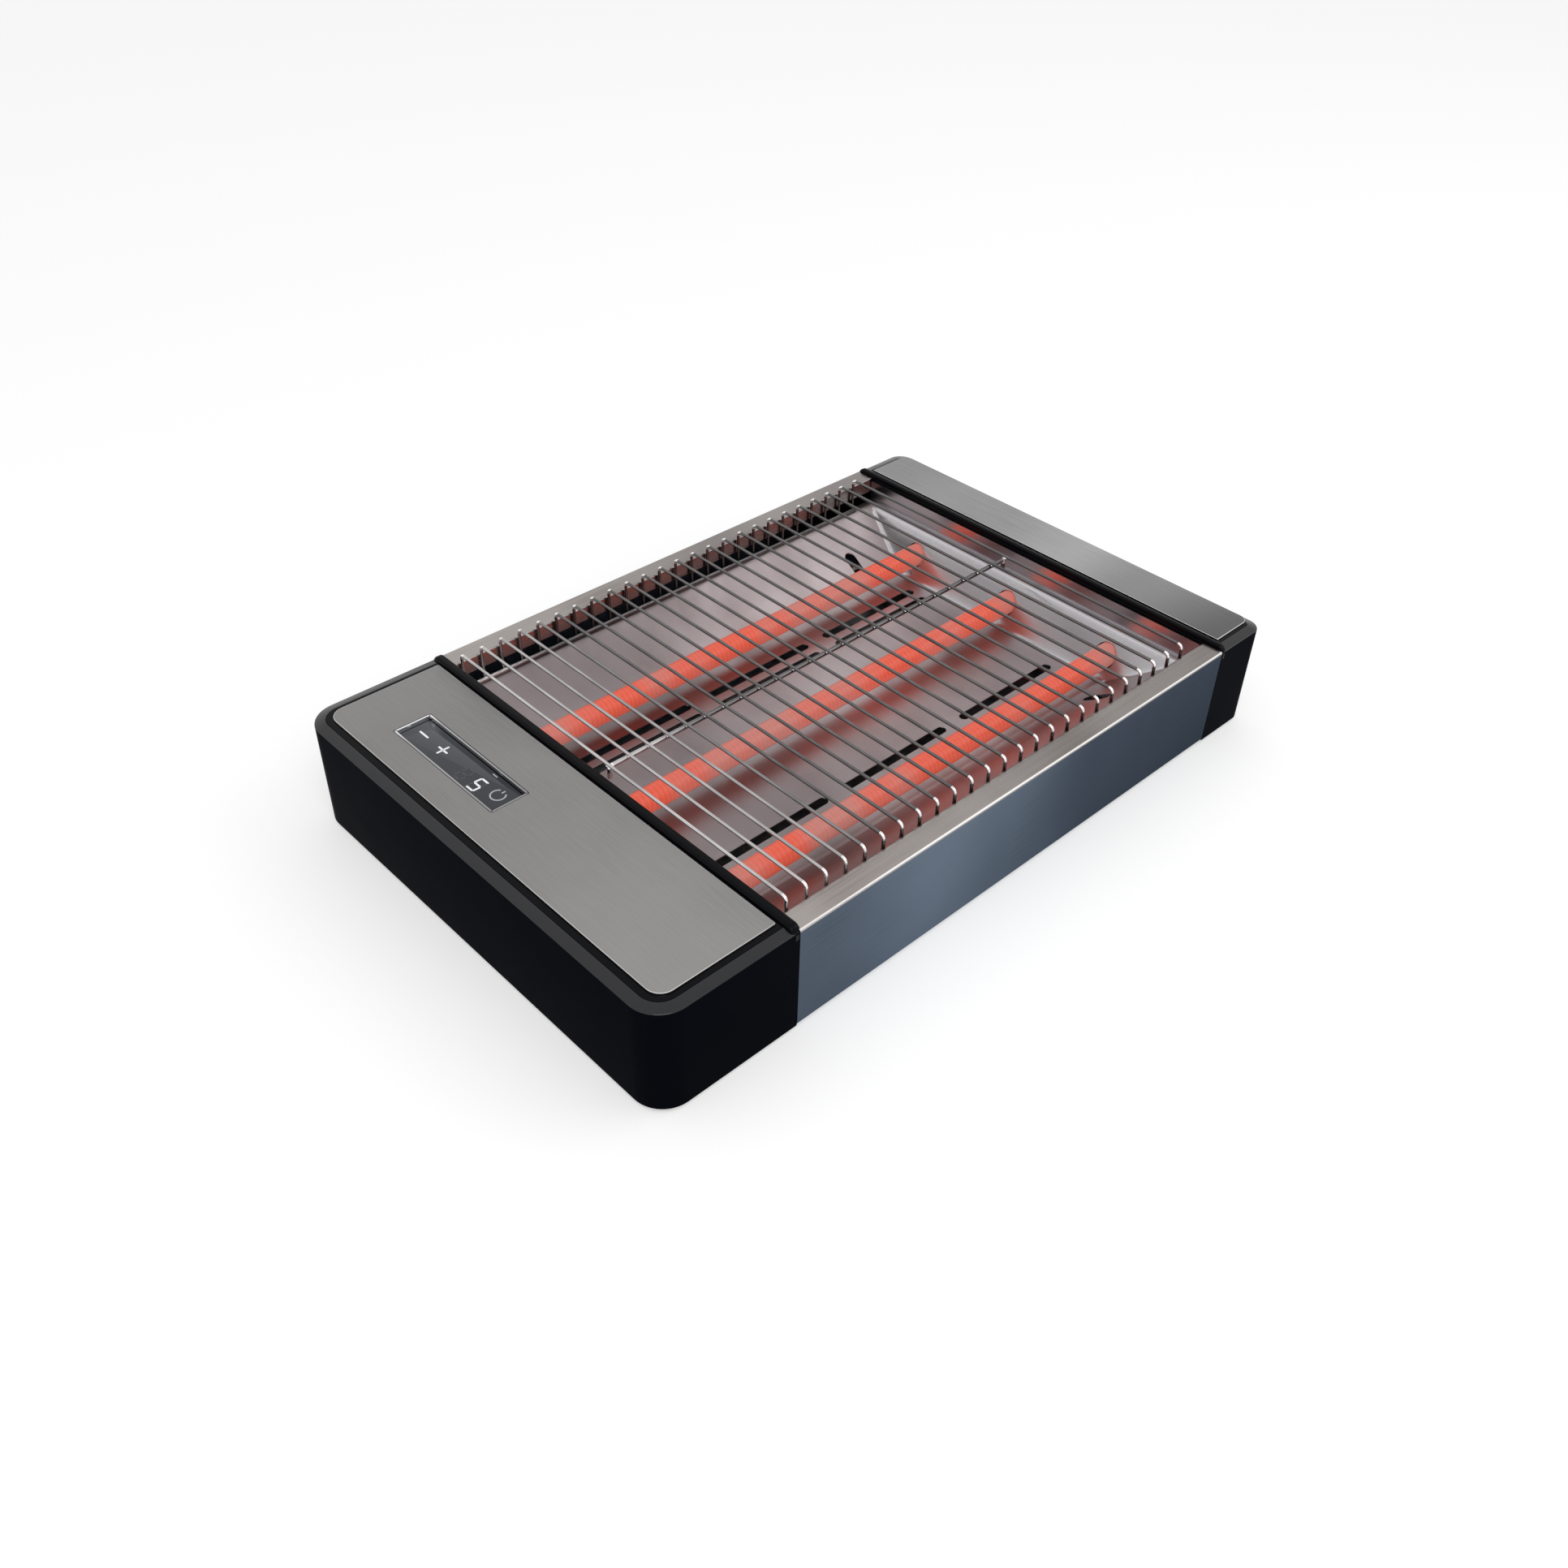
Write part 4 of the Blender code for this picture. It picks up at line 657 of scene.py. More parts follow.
def lip_form(outer, seam, overhang):
    """The raised bar, with its upper edges round."""
    outward = math.copysign(1.0, outer - seam)
    plate_side = seam + outward * LIP_THICKNESS
    trough_side = seam - outward * overhang
    lip = cube("lip", (plate_side, -HALF_WIDTH, LIP_FOOT), (trough_side, HALF_WIDTH, LIP_TOP))
    with editing(lip):
        pick_edges(lip, lambda a, b: same(a.z, LIP_TOP) and same(b.z, LIP_TOP) and same(a.y, b.y))
        round_picked(LIP_CORNER_RADIUS, LIP_CORNER_STEPS)
        for side, radius in ((trough_side, LIP_TROUGH_RADIUS), (plate_side, LIP_PLATE_RADIUS)):
            foot = LIP_FOOT + NEAR
            pick_edges(
                lip, lambda a, b: same(a.x, side) and same(b.x, side) and max(a.z, b.z) > foot
            )
            round_picked(radius, LIP_STEPS)
    if overhang > FIT:
        past = seam - outward * (overhang + OVERRUN)
        low = (seam, -HALF_WIDTH - OVERRUN, LIP_FOOT - OVERRUN)
        cut(lip, cube("step", low, (past, HALF_WIDTH + OVERRUN, FLANGE_TOP + FIT)))
    return lip

# %% [markdown]
# Inside, a housing has what its neighbours need: bosses for the cover's screws, holes for the tube
# holders and the return lead, and a ledge that carries the reflector pan.

# %% Inside of a housing
SCREWS = {"control": 4, "far": 2}
BOSS_RADIUS = 0.004
COVER_SHEET = 0.0022
COLLAR_WIDTH = 0.002
LEDGE_DEPTH = 0.003
LEDGE_HEIGHT = 0.003
PAN_RIM_WIDTH = 0.0045
PAN_SHEET = 0.0006
ROWS = ("front", "middle", "rear")
pan_low, pan_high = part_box("reflector_pan")
lead_low, lead_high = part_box("return_lead")
LEAD_RADIUS = 0.0012


def middle_of(node):
    low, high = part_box(node)
    return (low + high) / 2


def fit_out(shell, end_name, seam, outward):
    """Adds bosses, holes and the ledge to a shell."""
    screw_top = HOUSING_TOP - SHELL_WALL / 2
    cover_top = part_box(f"{end_name}_base_cover")[0].z + COVER_SHEET + FIT
    for count in range(SCREWS[end_name]):
        spot = middle_of(f"{end_name}_cover_screw_{count + 1}")
        fuse(shell, cylinder("boss", "Z", spot, cover_top, screw_top, BOSS_RADIUS, COARSE_SIDES))
    reach = seam - outward * (2 * FIT + LEDGE_DEPTH)
    inside = seam + outward * SHELL_WALL / 2
    ledge_top = pan_high.z - PAN_SHEET - FIT
    side = pan_high.y - PAN_RIM_WIDTH
    fuse(shell, cube("ledge", (reach, -side, ledge_top - LEDGE_HEIGHT), (inside, side, ledge_top)))
    start, end = reach - outward * OVERRUN, seam + outward * (SHELL_WALL + OVERRUN)
    for row in ROWS:
        low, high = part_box(f"ceramic_holder_{row}_{end_name}")
        radius = (high.z - low.z) / 2 - COLLAR_WIDTH + FIT
        cut(shell, cylinder("hole", "X", (low + high) / 2, start, end, radius, FINE_SIDES))
    spot = (0, lead_high.y - LEAD_RADIUS, lead_low.z + LEAD_RADIUS)
    cut(shell, cylinder("hole", "X", spot, start, end, LEAD_RADIUS + FIT, COARSE_SIDES))

# %% Make both shells
CONTROL_END = control_low.x
FAR_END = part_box("far_housing")[1].x
LIP_OVERHANG = 0.0010


def end_shell(end_name, outer, seam, radius, overhang):
    """A housing with its lip and its hollow, fitted out inside."""
    name = f"{end_name}_shell"
    shell = housing_form(name, outer, seam, radius, 0.0, HOUSING_TOP, 1.0, CREASE_RADIUS)
    fuse(shell, lip_form(outer, seam, overhang))
    top = HOUSING_TOP - SHELL_WALL
    share = INNER_CHAMFER_SHARE
    cut(shell, housing_form("hollow", outer, seam, radius, SHELL_WALL, top, share, 0.0))
    fit_out(shell, end_name, seam, math.copysign(1.0, outer - seam))
    return shell


control_shell = end_shell(
    "control", CONTROL_END, CONTROL_SEAM, CONTROL_CORNER_RADIUS, LIP_OVERHANG
)
far_shell = end_shell("far", FAR_END, FAR_SEAM, FAR_CORNER_RADIUS, 0.0)
print("shells made")

# %% [markdown]
# The control shell also has the window for the display, posts for the board behind it and the hole
# for the cord's bush. Window cutters have small round corners, as a milled opening has.

# %% Window, posts and inlet
WINDOW_CORNER = 0.0009
WINDOW_CORNER_STEPS = 4
INLET_COLLAR_STEP = 0.002
POST_RADIUS = 0.003
bezel_low, bezel_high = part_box("display_bezel")
board_low, board_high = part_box("display_board")
bush_low, bush_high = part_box("cord_inlet_bush")
INNER_WALL = HALF_WIDTH - SHELL_WALL


def window_form(name, margin, bottom, top):
    """A round-cornered block over the window, smaller than it by a margin."""
    low = (bezel_low.x - FIT + margin, bezel_low.y - FIT + margin, bottom)
    high = (bezel_high.x + FIT - margin, bezel_high.y + FIT - margin, top)
    return round_upright(cube(name, low, high), WINDOW_CORNER, WINDOW_CORNER_STEPS)


cut(control_shell, window_form("window", 0.0, HOUSING_TOP - SHELL_WALL - OVERRUN, LIP_TOP))
middle_x = (bezel_low.x + bezel_high.x) / 2
for y in ((board_low.y + bezel_low.y) / 2, (board_high.y + bezel_high.y) / 2):
    start, end = board_high.z + FIT, HOUSING_TOP - SHELL_WALL / 2
    post = cylinder("post", "Z", (middle_x, y, 0), start, end, POST_RADIUS, COARSE_SIDES)
    fuse(control_shell, post)
bush_spot = (bush_low + bush_high) / 2
bush_radius = (bush_high.z - bush_low.z) / 2 - INLET_COLLAR_STEP
start, end = INNER_WALL - OVERRUN, HALF_WIDTH + OVERRUN
cut(control_shell, cylinder("inlet", "Y", bush_spot, start, end, bush_radius + FIT, FINE_SIDES))
print("window, posts and inlet made")

# %% [markdown]
# A shell takes three finishes: satin on its walls, gloss on the chamfer, and a darker satin,
# painted shade, on the ring round the plate and on the lip. The faces are picked by their height
# and their slope.

# %% Finish the shells
CHAMFER_SLOPES = (0.3, 0.998)


def finish_shell(shell, node, seam):
    level, top = HOUSING_TOP - CHAMFER_DROP - CREASE_RADIUS, HOUSING_TOP - NEAR
    low, high = CHAMFER_SLOPES

    def choose(face):
        spot = face.center
        if abs(spot.x - seam) < LIP_THICKNESS + NEAR and spot.z > LIP_FOOT or spot.z > top:
            return 2
        return int(level < spot.z < top and low < face.normal.z < high)

    finishes = ("satin_black", "gloss_black", "painted_shade_black")
    finish_faces(shell, finishes, choose, node)


finish_shell(control_shell, "control_housing", CONTROL_SEAM)
finish_shell(far_shell, "far_housing", FAR_SEAM)

# %% [markdown]
# ## Steel top plates
# Each plate is a thin sheet with round outer corners, let into the top of its housing. Its cut edge
# is rounded a little and painted bright, a painted highlight that gives the thin bright line round
# it.

# %% Plates
CONTROL_PLATE_RADIUS = 0.0075
FAR_PLATE_RADIUS = 0.005
PLATE_CORNER_STEPS = 14
PLATE_EDGE = 0.00025
PLATE_SEAM_CORNER = 3 * PLATE_EDGE
PLATE_LEVEL = 0.95


def top_plate(name, node, outer, radius):
    """A sheet with large corners at its outer end and tiny ones at the seam."""
    low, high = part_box(node)
    plate = cube(name, low, high)
    with editing(plate):
        pick_edges(plate, lambda a, b: not same(a.z, b.z) and same(a.x, outer))
        round_picked(radius, PLATE_CORNER_STEPS)
        pick_edges(plate, lambda a, b: not same(a.z, b.z) and same(a.x, low.x + high.x - outer))
        round_picked(PLATE_SEAM_CORNER, 3)
        pick_level(plate, "Z", high.z)
        round_picked(PLATE_EDGE, 2)
    return plate


def finish_plate(plate, node, steel):
    """Brushed all over, with a painted highlight on the cut edge."""
    finishes = (steel, "painted_highlight_steel")
    finish_faces(plate, finishes, lambda face: face.normal.z < PLATE_LEVEL, node)


control_plate = top_plate("control_top_plate", "control_plate", plate_low.x, CONTROL_PLATE_RADIUS)
cut(control_plate, window_form("window", 0.0, plate_low.z - OVERRUN, plate_high.z + OVERRUN))
finish_plate(control_plate, "control_plate", "plate_steel")
far_plate = top_plate("far_top_plate", "far_plate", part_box("far_plate")[1].x, FAR_PLATE_RADIUS)
finish_plate(far_plate, "far_plate", "painted_light_far_plate_steel")

# %% [markdown]
# ## Display
# A polished lining runs round the window, and the smoked glass lies a little below the plate. The
# signs are thin raised pieces on the glass: minus, plus, a digit, a power sign and an indicator
# line, and the segments that are off.

# %% Lining and glass
BEZEL_WALL = 0.0009
BEZEL_EDGE = 0.00015
glass_low, glass_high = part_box("display_glass")


def round_top(obj, level):
    """Rounds the upper edge of a piece of the display."""
    with editing(obj):
        pick_level(obj, "Z", level)
        round_picked(BEZEL_EDGE, 2)


lining = window_form("display_lining", FIT, bezel_low.z, bezel_high.z)
with editing(lining):
    pick_faces(lining, lambda middle, normal: abs(normal.z) > FLAT)
    bpy.ops.mesh.delete(type="FACE")
thicken(lining, BEZEL_WALL)
round_top(lining, bezel_high.z)
finish_piece(lining, "bezel_steel", replaced=("display_bezel",))

glass = window_form("touch_glass", FIT + BEZEL_WALL + FIT, glass_low.z, glass_high.z)
round_top(glass, glass_high.z)
finish_piece(glass, "smoked_glass", replaced=("display_glass",))

# %% Signs
SIGN_X = -0.1635
DIGIT_X = -0.1660
SIGN_RISE = 0.00006
STROKE = 0.0010
THIN_STROKE = 0.0007
STROKE_ROUNDING = 0.45
SIGN_SIZE = 0.0068
DIGIT_HEIGHT = 0.0078
DIGIT_WIDTH = 0.0047
DIGIT_SLANT = 0.0003
DIGIT_SPACING = 2.1
INDICATOR = 0.0034
INDICATOR_X = -0.1568
RING_GAP = math.radians(35)
RING_STEPS = 28
POWER_BAR = (0.55, 1.15)


def stroke(start, end, width):
    """A thin bar on the glass from one point to another, in the plane of the glass."""
    start, end = Vector((*start, glass_high.z)), Vector((*end, glass_high.z))
    run = end - start
    bar = new_piece(
        "stroke", bpy.ops.mesh.primitive_cube_add, size=1,
        location=(start + end) / 2 + Vector((0, 0, SIGN_RISE / 2)),
        scale=(run.length, width, SIGN_RISE), rotation=(0, 0, math.atan2(run.y, run.x)),
    )
    return round_upright(bar, width * STROKE_ROUNDING, 3)


def minus_at(y):
    return [stroke((SIGN_X, y - SIGN_SIZE / 2), (SIGN_X, y + SIGN_SIZE / 2), STROKE)]


def plus_at(y):
    return minus_at(y) + [stroke((SIGN_X - SIGN_SIZE / 2, y), (SIGN_X + SIGN_SIZE / 2, y), STROKE)]


def segments(y, lit):
    """Strokes of a seven segment digit. Its top is towards +X, and it reads along -Y."""
    half, tall = DIGIT_WIDTH / 2, DIGIT_HEIGHT / 2
    corners = {}
    for row, x in (("top", tall), ("mid", 0.0), ("low", -tall)):
        lean = -DIGIT_SLANT * x / tall
        corners[row] = [(DIGIT_X + x, y + half + lean), (DIGIT_X + x, y - half + lean)]
    pairs = {
        "a": corners["top"], "g": corners["mid"], "d": corners["low"],
        "f": (corners["top"][0], corners["mid"][0]), "b": (corners["top"][1], corners["mid"][1]),
        "e": (corners["mid"][0], corners["low"][0]), "c": (corners["mid"][1], corners["low"][1]),
    }
    return [stroke(*pairs[letter], STROKE) for letter in lit]


def power_at(y):
    """A ring with a gap at its top and a bar in the gap."""
    ring = SIGN_SIZE / 2
    centre = (SIGN_X, y, glass_high.z)
    start = (SIGN_X + ring, y, glass_high.z + SIGN_RISE / 2)
    arc = new_piece(
        "ring", bpy.ops.mesh.primitive_plane_add,
        size=THIN_STROKE, location=start, rotation=(math.pi / 2, 0, 0),
    )
    with editing(arc):
        bpy.ops.mesh.select_all(action="SELECT")
        bpy.ops.transform.resize(value=(1, 1, SIGN_RISE / THIN_STROKE), center_override=start)
        bpy.ops.transform.rotate(value=-RING_GAP, orient_axis="Z", center_override=centre)
        turn = 2 * RING_GAP - 2 * math.pi
        bpy.ops.mesh.spin(steps=RING_STEPS, angle=turn, center=centre, axis=(0, 0, 1))
        face_outward()
    return [arc, stroke(*((SIGN_X + ring * share, y) for share in POWER_BAR), THIN_STROKE)]


def sign_piece(name, finish, slot, *strokes):
    """Joins strokes to one named piece of the display."""
    piece = join(*strokes)
    piece.name = name
    finish_piece(piece, finish)


MINUS_Y, PLUS_Y, DIGIT_Y, POWER_Y = 0.0775, 0.0624, 0.0322, 0.0205
lit = (*minus_at(MINUS_Y), *plus_at(PLUS_Y), *segments(DIGIT_Y, "afgcd"))
sign_piece("display_signs", "sign_white", "white_plastic", *lit)
half = INDICATOR / 2
indicator = stroke((INDICATOR_X, DIGIT_Y - half), (INDICATOR_X, DIGIT_Y + half), THIN_STROKE)
sign_piece("display_dim_signs", "sign_dim", "white_plastic", *power_at(POWER_Y), indicator)
unlit = (*segments(DIGIT_Y + DIGIT_WIDTH * DIGIT_SPACING, "abcdefg"), *segments(DIGIT_Y, "be"))
sign_piece("display_unlit_segments", "sign_faint", "dark_glass", *unlit)

# %% [markdown]
# ## Side panels
# A panel is one folded sheet: an outer wall, a flange on top with a lip down into the trough, and
# a narrow foot. It is made from a box by cutting away what isn't sheet, rounding the folds, and
# giving what is left its thickness. Its one steel is painted as two copies: a darker blue-grey
# wall, painted shade, and a lighter warm flange and foot, painted light. The upper fold has a
# painted highlight.

# %% Panels
SHEET = 0.0008
FLANGE_LIP = 0.008
BOTTOM_FLANGE = 0.010
FOLD_RADIUS = 0.0014
FOLD_STEPS = 8
FOLD_SLOPES = (0.35, 0.85)
LIP_FOLD_RADIUS = 0.0010
LIP_FOLD_STEPS = 6
front_low, front_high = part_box("tray_front")
slot_gap = Vector((RUNNING_GAP, OVERRUN, RUNNING_GAP))


def side_panel(name, node, side):
    """The folded sheet on one side, from the box of its solid."""
    low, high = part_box(node)
    outer = side * HALF_WIDTH
    inner = side * min(abs(low.y), abs(high.y))
    foot = outer - side * BOTTOM_FLANGE
    lip_end = high.z - FLANGE_LIP
    panel = cube(name, low, high)
    with editing(panel):
        for point, normal in (((0, 0, lip_end), (0, 0, 1)), ((0, foot, 0), (0, 1, 0))):
            bpy.ops.mesh.select_all(action="SELECT")
            bpy.ops.mesh.bisect(plane_co=point, plane_no=normal)
        pick_faces(
            panel,
            lambda middle, normal: abs(normal.x) > FLAT
            or (same(middle.y, inner) and middle.z < lip_end)
            or (same(middle.z, low.z) and abs(middle.y) < abs(foot)),
        )
        bpy.ops.mesh.delete(type="FACE")
        pick_edges(panel, lambda a, b: same(a.z, b.z) and same(a.y, outer) and same(b.y, outer))
        round_picked(FOLD_RADIUS, FOLD_STEPS)
        pick_edges(panel, lambda *ends: all(same(p.z, high.z) and same(p.y, inner) for p in ends))
        round_picked(LIP_FOLD_RADIUS, LIP_FOLD_STEPS)
        face_outward()
    thicken(panel, SHEET)
    return panel


def choose_for_panel(face):
    """Painted shade on the wall, painted light on the flange and the foot, or a painted highlight
    on the fold.
    """
    spot = face.center
    low, high = FOLD_SLOPES
    if low < face.normal.z < high and abs(spot.y) > HALF_WIDTH - FOLD_RADIUS:
        return 2
    return int(spot.z > FLANGE_TOP - FOLD_RADIUS or abs(spot.y) < HALF_WIDTH - BOTTOM_FLANGE)


front_panel = side_panel("front_steel_panel", "front_side_panel", -1.0)
rear_panel = side_panel("rear_steel_panel", "rear_side_panel", 1.0)
cut(rear_panel, cube("slot", front_low - slot_gap, front_high + slot_gap))
for panel, node in ((front_panel, "front_side_panel"), (rear_panel, "rear_side_panel")):
    finishes = ("painted_shade_panel_steel", "painted_light_flange_steel", "painted_highlight_steel")
    finish_faces(panel, finishes, choose_for_panel, node)

# %% [markdown]
# ## Reflector pan
# The pan under the tubes is pressed from polished sheet: a flat floor, four sloping sides and a
# narrow rim. It is a box without a lid whose floor is scaled down, with its open edge drawn out for
# the rim and every bend rounded. Slots in the floor let crumbs fall into the tray.

# %% Pan
PAN_FLOOR_SIDE = 0.072
PAN_END_SLOPE = 0.012
PAN_END_NORMAL = 0.3
PAN_BEND = 0.0022
PAN_BEND_STEPS = 4
CRUMB_SLOT = (0.070, 0.005)
CRUMB_SLOT_GAP = 0.012
CRUMB_SLOT_SIDES = (-0.054, -0.044, 0.044, 0.054)
WING_SLOT = (0.007, 0.014)
WING_SLOT_FROM_SEAM = 0.041
WING_SLOT_SIDE = 0.085
SLOT_END_SHARE = 0.98

rim_low = Vector((pan_low.x + PAN_RIM_WIDTH, pan_low.y + PAN_RIM_WIDTH, pan_low.z + PAN_SHEET))
rim_high = Vector((pan_high.x - PAN_RIM_WIDTH, pan_high.y - PAN_RIM_WIDTH, pan_high.z))
rim_middle = (rim_low + rim_high) / 2
wing = rim_high - rim_low
pan = cube("polished_pan", rim_low, rim_high)
with editing(pan):
    pick_top(pan)
    bpy.ops.mesh.delete(type="ONLY_FACE")
    pick_level(pan, "Z", rim_low.z)
    shares = ((wing.x - 2 * PAN_END_SLOPE) / wing.x, 2 * PAN_FLOOR_SIDE / wing.y, 1)
    bpy.ops.transform.resize(value=shares, center_override=rim_middle)
    pick_level(pan, "Z", rim_high.z)
    bpy.ops.mesh.extrude_region_move()
    shares = ((pan_high.x - pan_low.x) / wing.x, (pan_high.y - pan_low.y) / wing.y, 1)
    bpy.ops.transform.resize(value=shares, center_override=rim_middle)
    pick_edges(pan, lambda a, b: max(abs(a.y), abs(b.y)) < pan_high.y - NEAR)
    round_picked(PAN_BEND, PAN_BEND_STEPS)
    face_outward()
thicken(pan, PAN_SHEET, 1.0)
print("pan faces", len(pan.data.polygons))

# %% Holes and slots of the pan
def cut_slot(x, y, size, bottom, top):
    """Cuts a slot with round ends into the pan."""
    half = Vector(size) / 2
    form = cube("slot", (x - half.x, y - half.y, bottom), (x + half.x, y + half.y, top))
    cut(pan, round_upright(form, min(half) * SLOT_END_SHARE, 6))


tube_low, tube_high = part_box("quartz_tube_front")
tube_radius = (tube_high.z - tube_low.z) / 2
for row in ROWS:
    spot, radius = middle_of(f"quartz_tube_{row}"), tube_radius + RUNNING_GAP
    cut(pan, cylinder("hole", "X", spot, pan_low.x, pan_high.x, radius, FINE_SIDES))
floor_level = pan_low.z + PAN_SHEET
for count in (-1, 0, 1):
    x = rim_middle.x + count * (CRUMB_SLOT[0] + CRUMB_SLOT_GAP)
    for y in CRUMB_SLOT_SIDES:
        cut_slot(x, y, CRUMB_SLOT, floor_level - OVERRUN, floor_level + OVERRUN)
for y in (-WING_SLOT_SIDE, WING_SLOT_SIDE):
    x = FAR_SEAM - WING_SLOT_FROM_SEAM
    cut_slot(x, y, WING_SLOT, floor_level + OVERRUN, pan_high.z - OVERRUN)
# The sloping ends take the bright strip steel, painted light.
finish_faces(
    pan, ("pan_steel", "painted_light_strip_steel"), lambda face: abs(face.normal.x) > PAN_END_NORMAL,
    "reflector_pan",
)

# %% [markdown]
# ## Heating tubes
# Each element is a frosted quartz tube round a winding. The tube is an open cylinder that a
# Solidify modifier gives its wall.

# %% Tubes
TUBE_WALL = 0.001

for row in ROWS:
    node = f"quartz_tube_{row}"
    low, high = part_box(node)
    name, spot = f"glowing_tube_{row}", middle_of(node)
    tube = cylinder(name, "X", spot, low.x, high.x, tube_radius, FINE_SIDES, "NOTHING")
    thicken(tube, TUBE_WALL)
    finish_piece(tube, "glowing_quartz", replaced=(node,))

# %% [markdown]
# ## Wire rack
# One wire is drawn as by hand: a round face at the foot of a leg is pulled up, spun round the bend,
# pulled across, spun again and pulled down. An array makes the other 24, and rods are welded on.

# %% One bent wire
WIRE_RADIUS = 0.0008
WIRE_SIDES = 12
ROD_RADIUS = 0.0012
ROD_SIDES = 16
BEND_RADIUS = 0.0022
BEND_STEPS = 8
WIRE_COUNT = 25
WIRE_PITCH = 0.011
ROD_OVERHANG = 0.0013
WELD_DEPTH = 0.0004
rack_low, rack_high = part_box("wire_rack")
first_x = rack_low.x + ROD_OVERHANG
leg_y = rack_high.y - WIRE_RADIUS
wire_level = rack_high.z - WIRE_RADIUS


def repeat(obj):
    """Repeats what belongs to one wire for all wires of the rack."""
    apply_modifier(
        obj, "ARRAY", count=WIRE_COUNT, use_relative_offset=False, use_constant_offset=True,
        constant_offset_displace=(WIRE_PITCH, 0, 0),
    )


rack = disc("bent_wire_rack", WIRE_RADIUS, WIRE_SIDES, (first_x, -leg_y, rack_low.z))
with editing(rack):
    bpy.ops.mesh.select_all(action="SELECT")
    pull((0, 0, wire_level - BEND_RADIUS - rack_low.z))
    for side in (-1, 1):
        centre = (first_x, side * (leg_y - BEND_RADIUS), wire_level - BEND_RADIUS)
        bpy.ops.mesh.spin(steps=BEND_STEPS, angle=math.pi / 2, center=centre, axis=(1, 0, 0))
        if side < 0:
            pull((0, 2 * (leg_y - BEND_RADIUS), 0))
    pull((0, 0, rack_low.z - wire_level + BEND_RADIUS))
    face_outward(merge=True)
repeat(rack)
print("rack wires", WIRE_COUNT, "faces", len(rack.data.polygons))

# %% Rods, middle bar and welds
TIP_DROP = 0.006
TIP_SHIFT = 0.0006
BAR_BEND = 0.0018
BAR_BEND_STEPS = 6
ROD_END_SHARE = 0.5
WELD_SIZE = (0.0010, 0.0015, 0.0006)
KNOB_AREA = 4e-7
last_x = first_x + (WIRE_COUNT - 1) * WIRE_PITCH
rod_y = leg_y - WIRE_RADIUS - ROD_RADIUS + WELD_DEPTH
bar_level = wire_level - WIRE_RADIUS - ROD_RADIUS + WELD_DEPTH
extras = []
for side in (-1, 1):
    spot = (0, side * rod_y, rack_low.z + ROD_RADIUS)
    rod = cylinder("rod", "X", spot, rack_low.x, last_x + ROD_OVERHANG, ROD_RADIUS, ROD_SIDES)
    with editing(rod):
        pick_edges(rod, lambda a, b: same(a.x, b.x))
        round_picked(ROD_RADIUS * ROD_END_SHARE, 3)
    extras.append(rod)
bar = disc("bar", ROD_RADIUS, ROD_SIDES, (first_x + TIP_SHIFT, 0, bar_level - TIP_DROP))
with editing(bar):
    bpy.ops.mesh.select_all(action="SELECT")
    pull((0, 0, TIP_DROP - BAR_BEND))
    start_x, end_x = first_x + TIP_SHIFT + BAR_BEND, last_x - TIP_SHIFT - BAR_BEND
    for x in (start_x, end_x):
        centre = (x, 0, bar_level - BAR_BEND)
        bpy.ops.mesh.spin(steps=BAR_BEND_STEPS, angle=-math.pi / 2, center=centre, axis=(0, 1, 0))
        if x == start_x:
            pull((end_x - start_x, 0, 0))
    pull((0, 0, BAR_BEND - TIP_DROP))
    face_outward(merge=True)
weld = new_piece(
    "weld", bpy.ops.mesh.primitive_uv_sphere_add, segments=10, ring_count=6, radius=1,
    location=(first_x, 0, wire_level - WIRE_RADIUS), scale=WELD_SIZE,
)
repeat(weld)
rack = join(rack, *extras, bar, weld)


def choose_for_rack(face):
    """Wires with painted shade darkening along the rack, and painted highlights on the bends and
    welds.
    """
    bend = abs(face.center.y) > leg_y - BEND_RADIUS - OVERRUN and face.center.z > FLANGE_TOP
    return int(bend or abs(face.center.y) < WELD_SIZE[1] and face.area < KNOB_AREA)


# The bends and welds take the bright chrome, painted highlights.
finishes = ("wire_chrome", "painted_highlight_chrome")
finish_faces(rack, finishes, choose_for_rack, "wire_rack", WIRE_SMOOTH_ANGLE)

# %% [markdown]
# ## Crumb tray
# A shallow folded tray with a black front, which slides out of the back. Its corners and folds are
# round, and the front has a scoop for a finger.

# %% Tray
TRAY_SHEET = 0.0006
TRAY_FOLD_RADIUS = 0.0018
tray_low, tray_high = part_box("crumb_tray")
tray = cube("steel_crumb_tray", tray_low, tray_high)
with editing(tray):
    pick_top(tray)
    bpy.ops.mesh.delete(type="ONLY_FACE")
    pick_edges(tray, lambda a, b: not (same(a.z, tray_high.z) and same(b.z, tray_high.z)))
    round_picked(TRAY_FOLD_RADIUS, 5)
    face_outward()
thicken(tray, TRAY_SHEET)
finish_piece(tray, "zinc_plated", "tray", ("crumb_tray",))

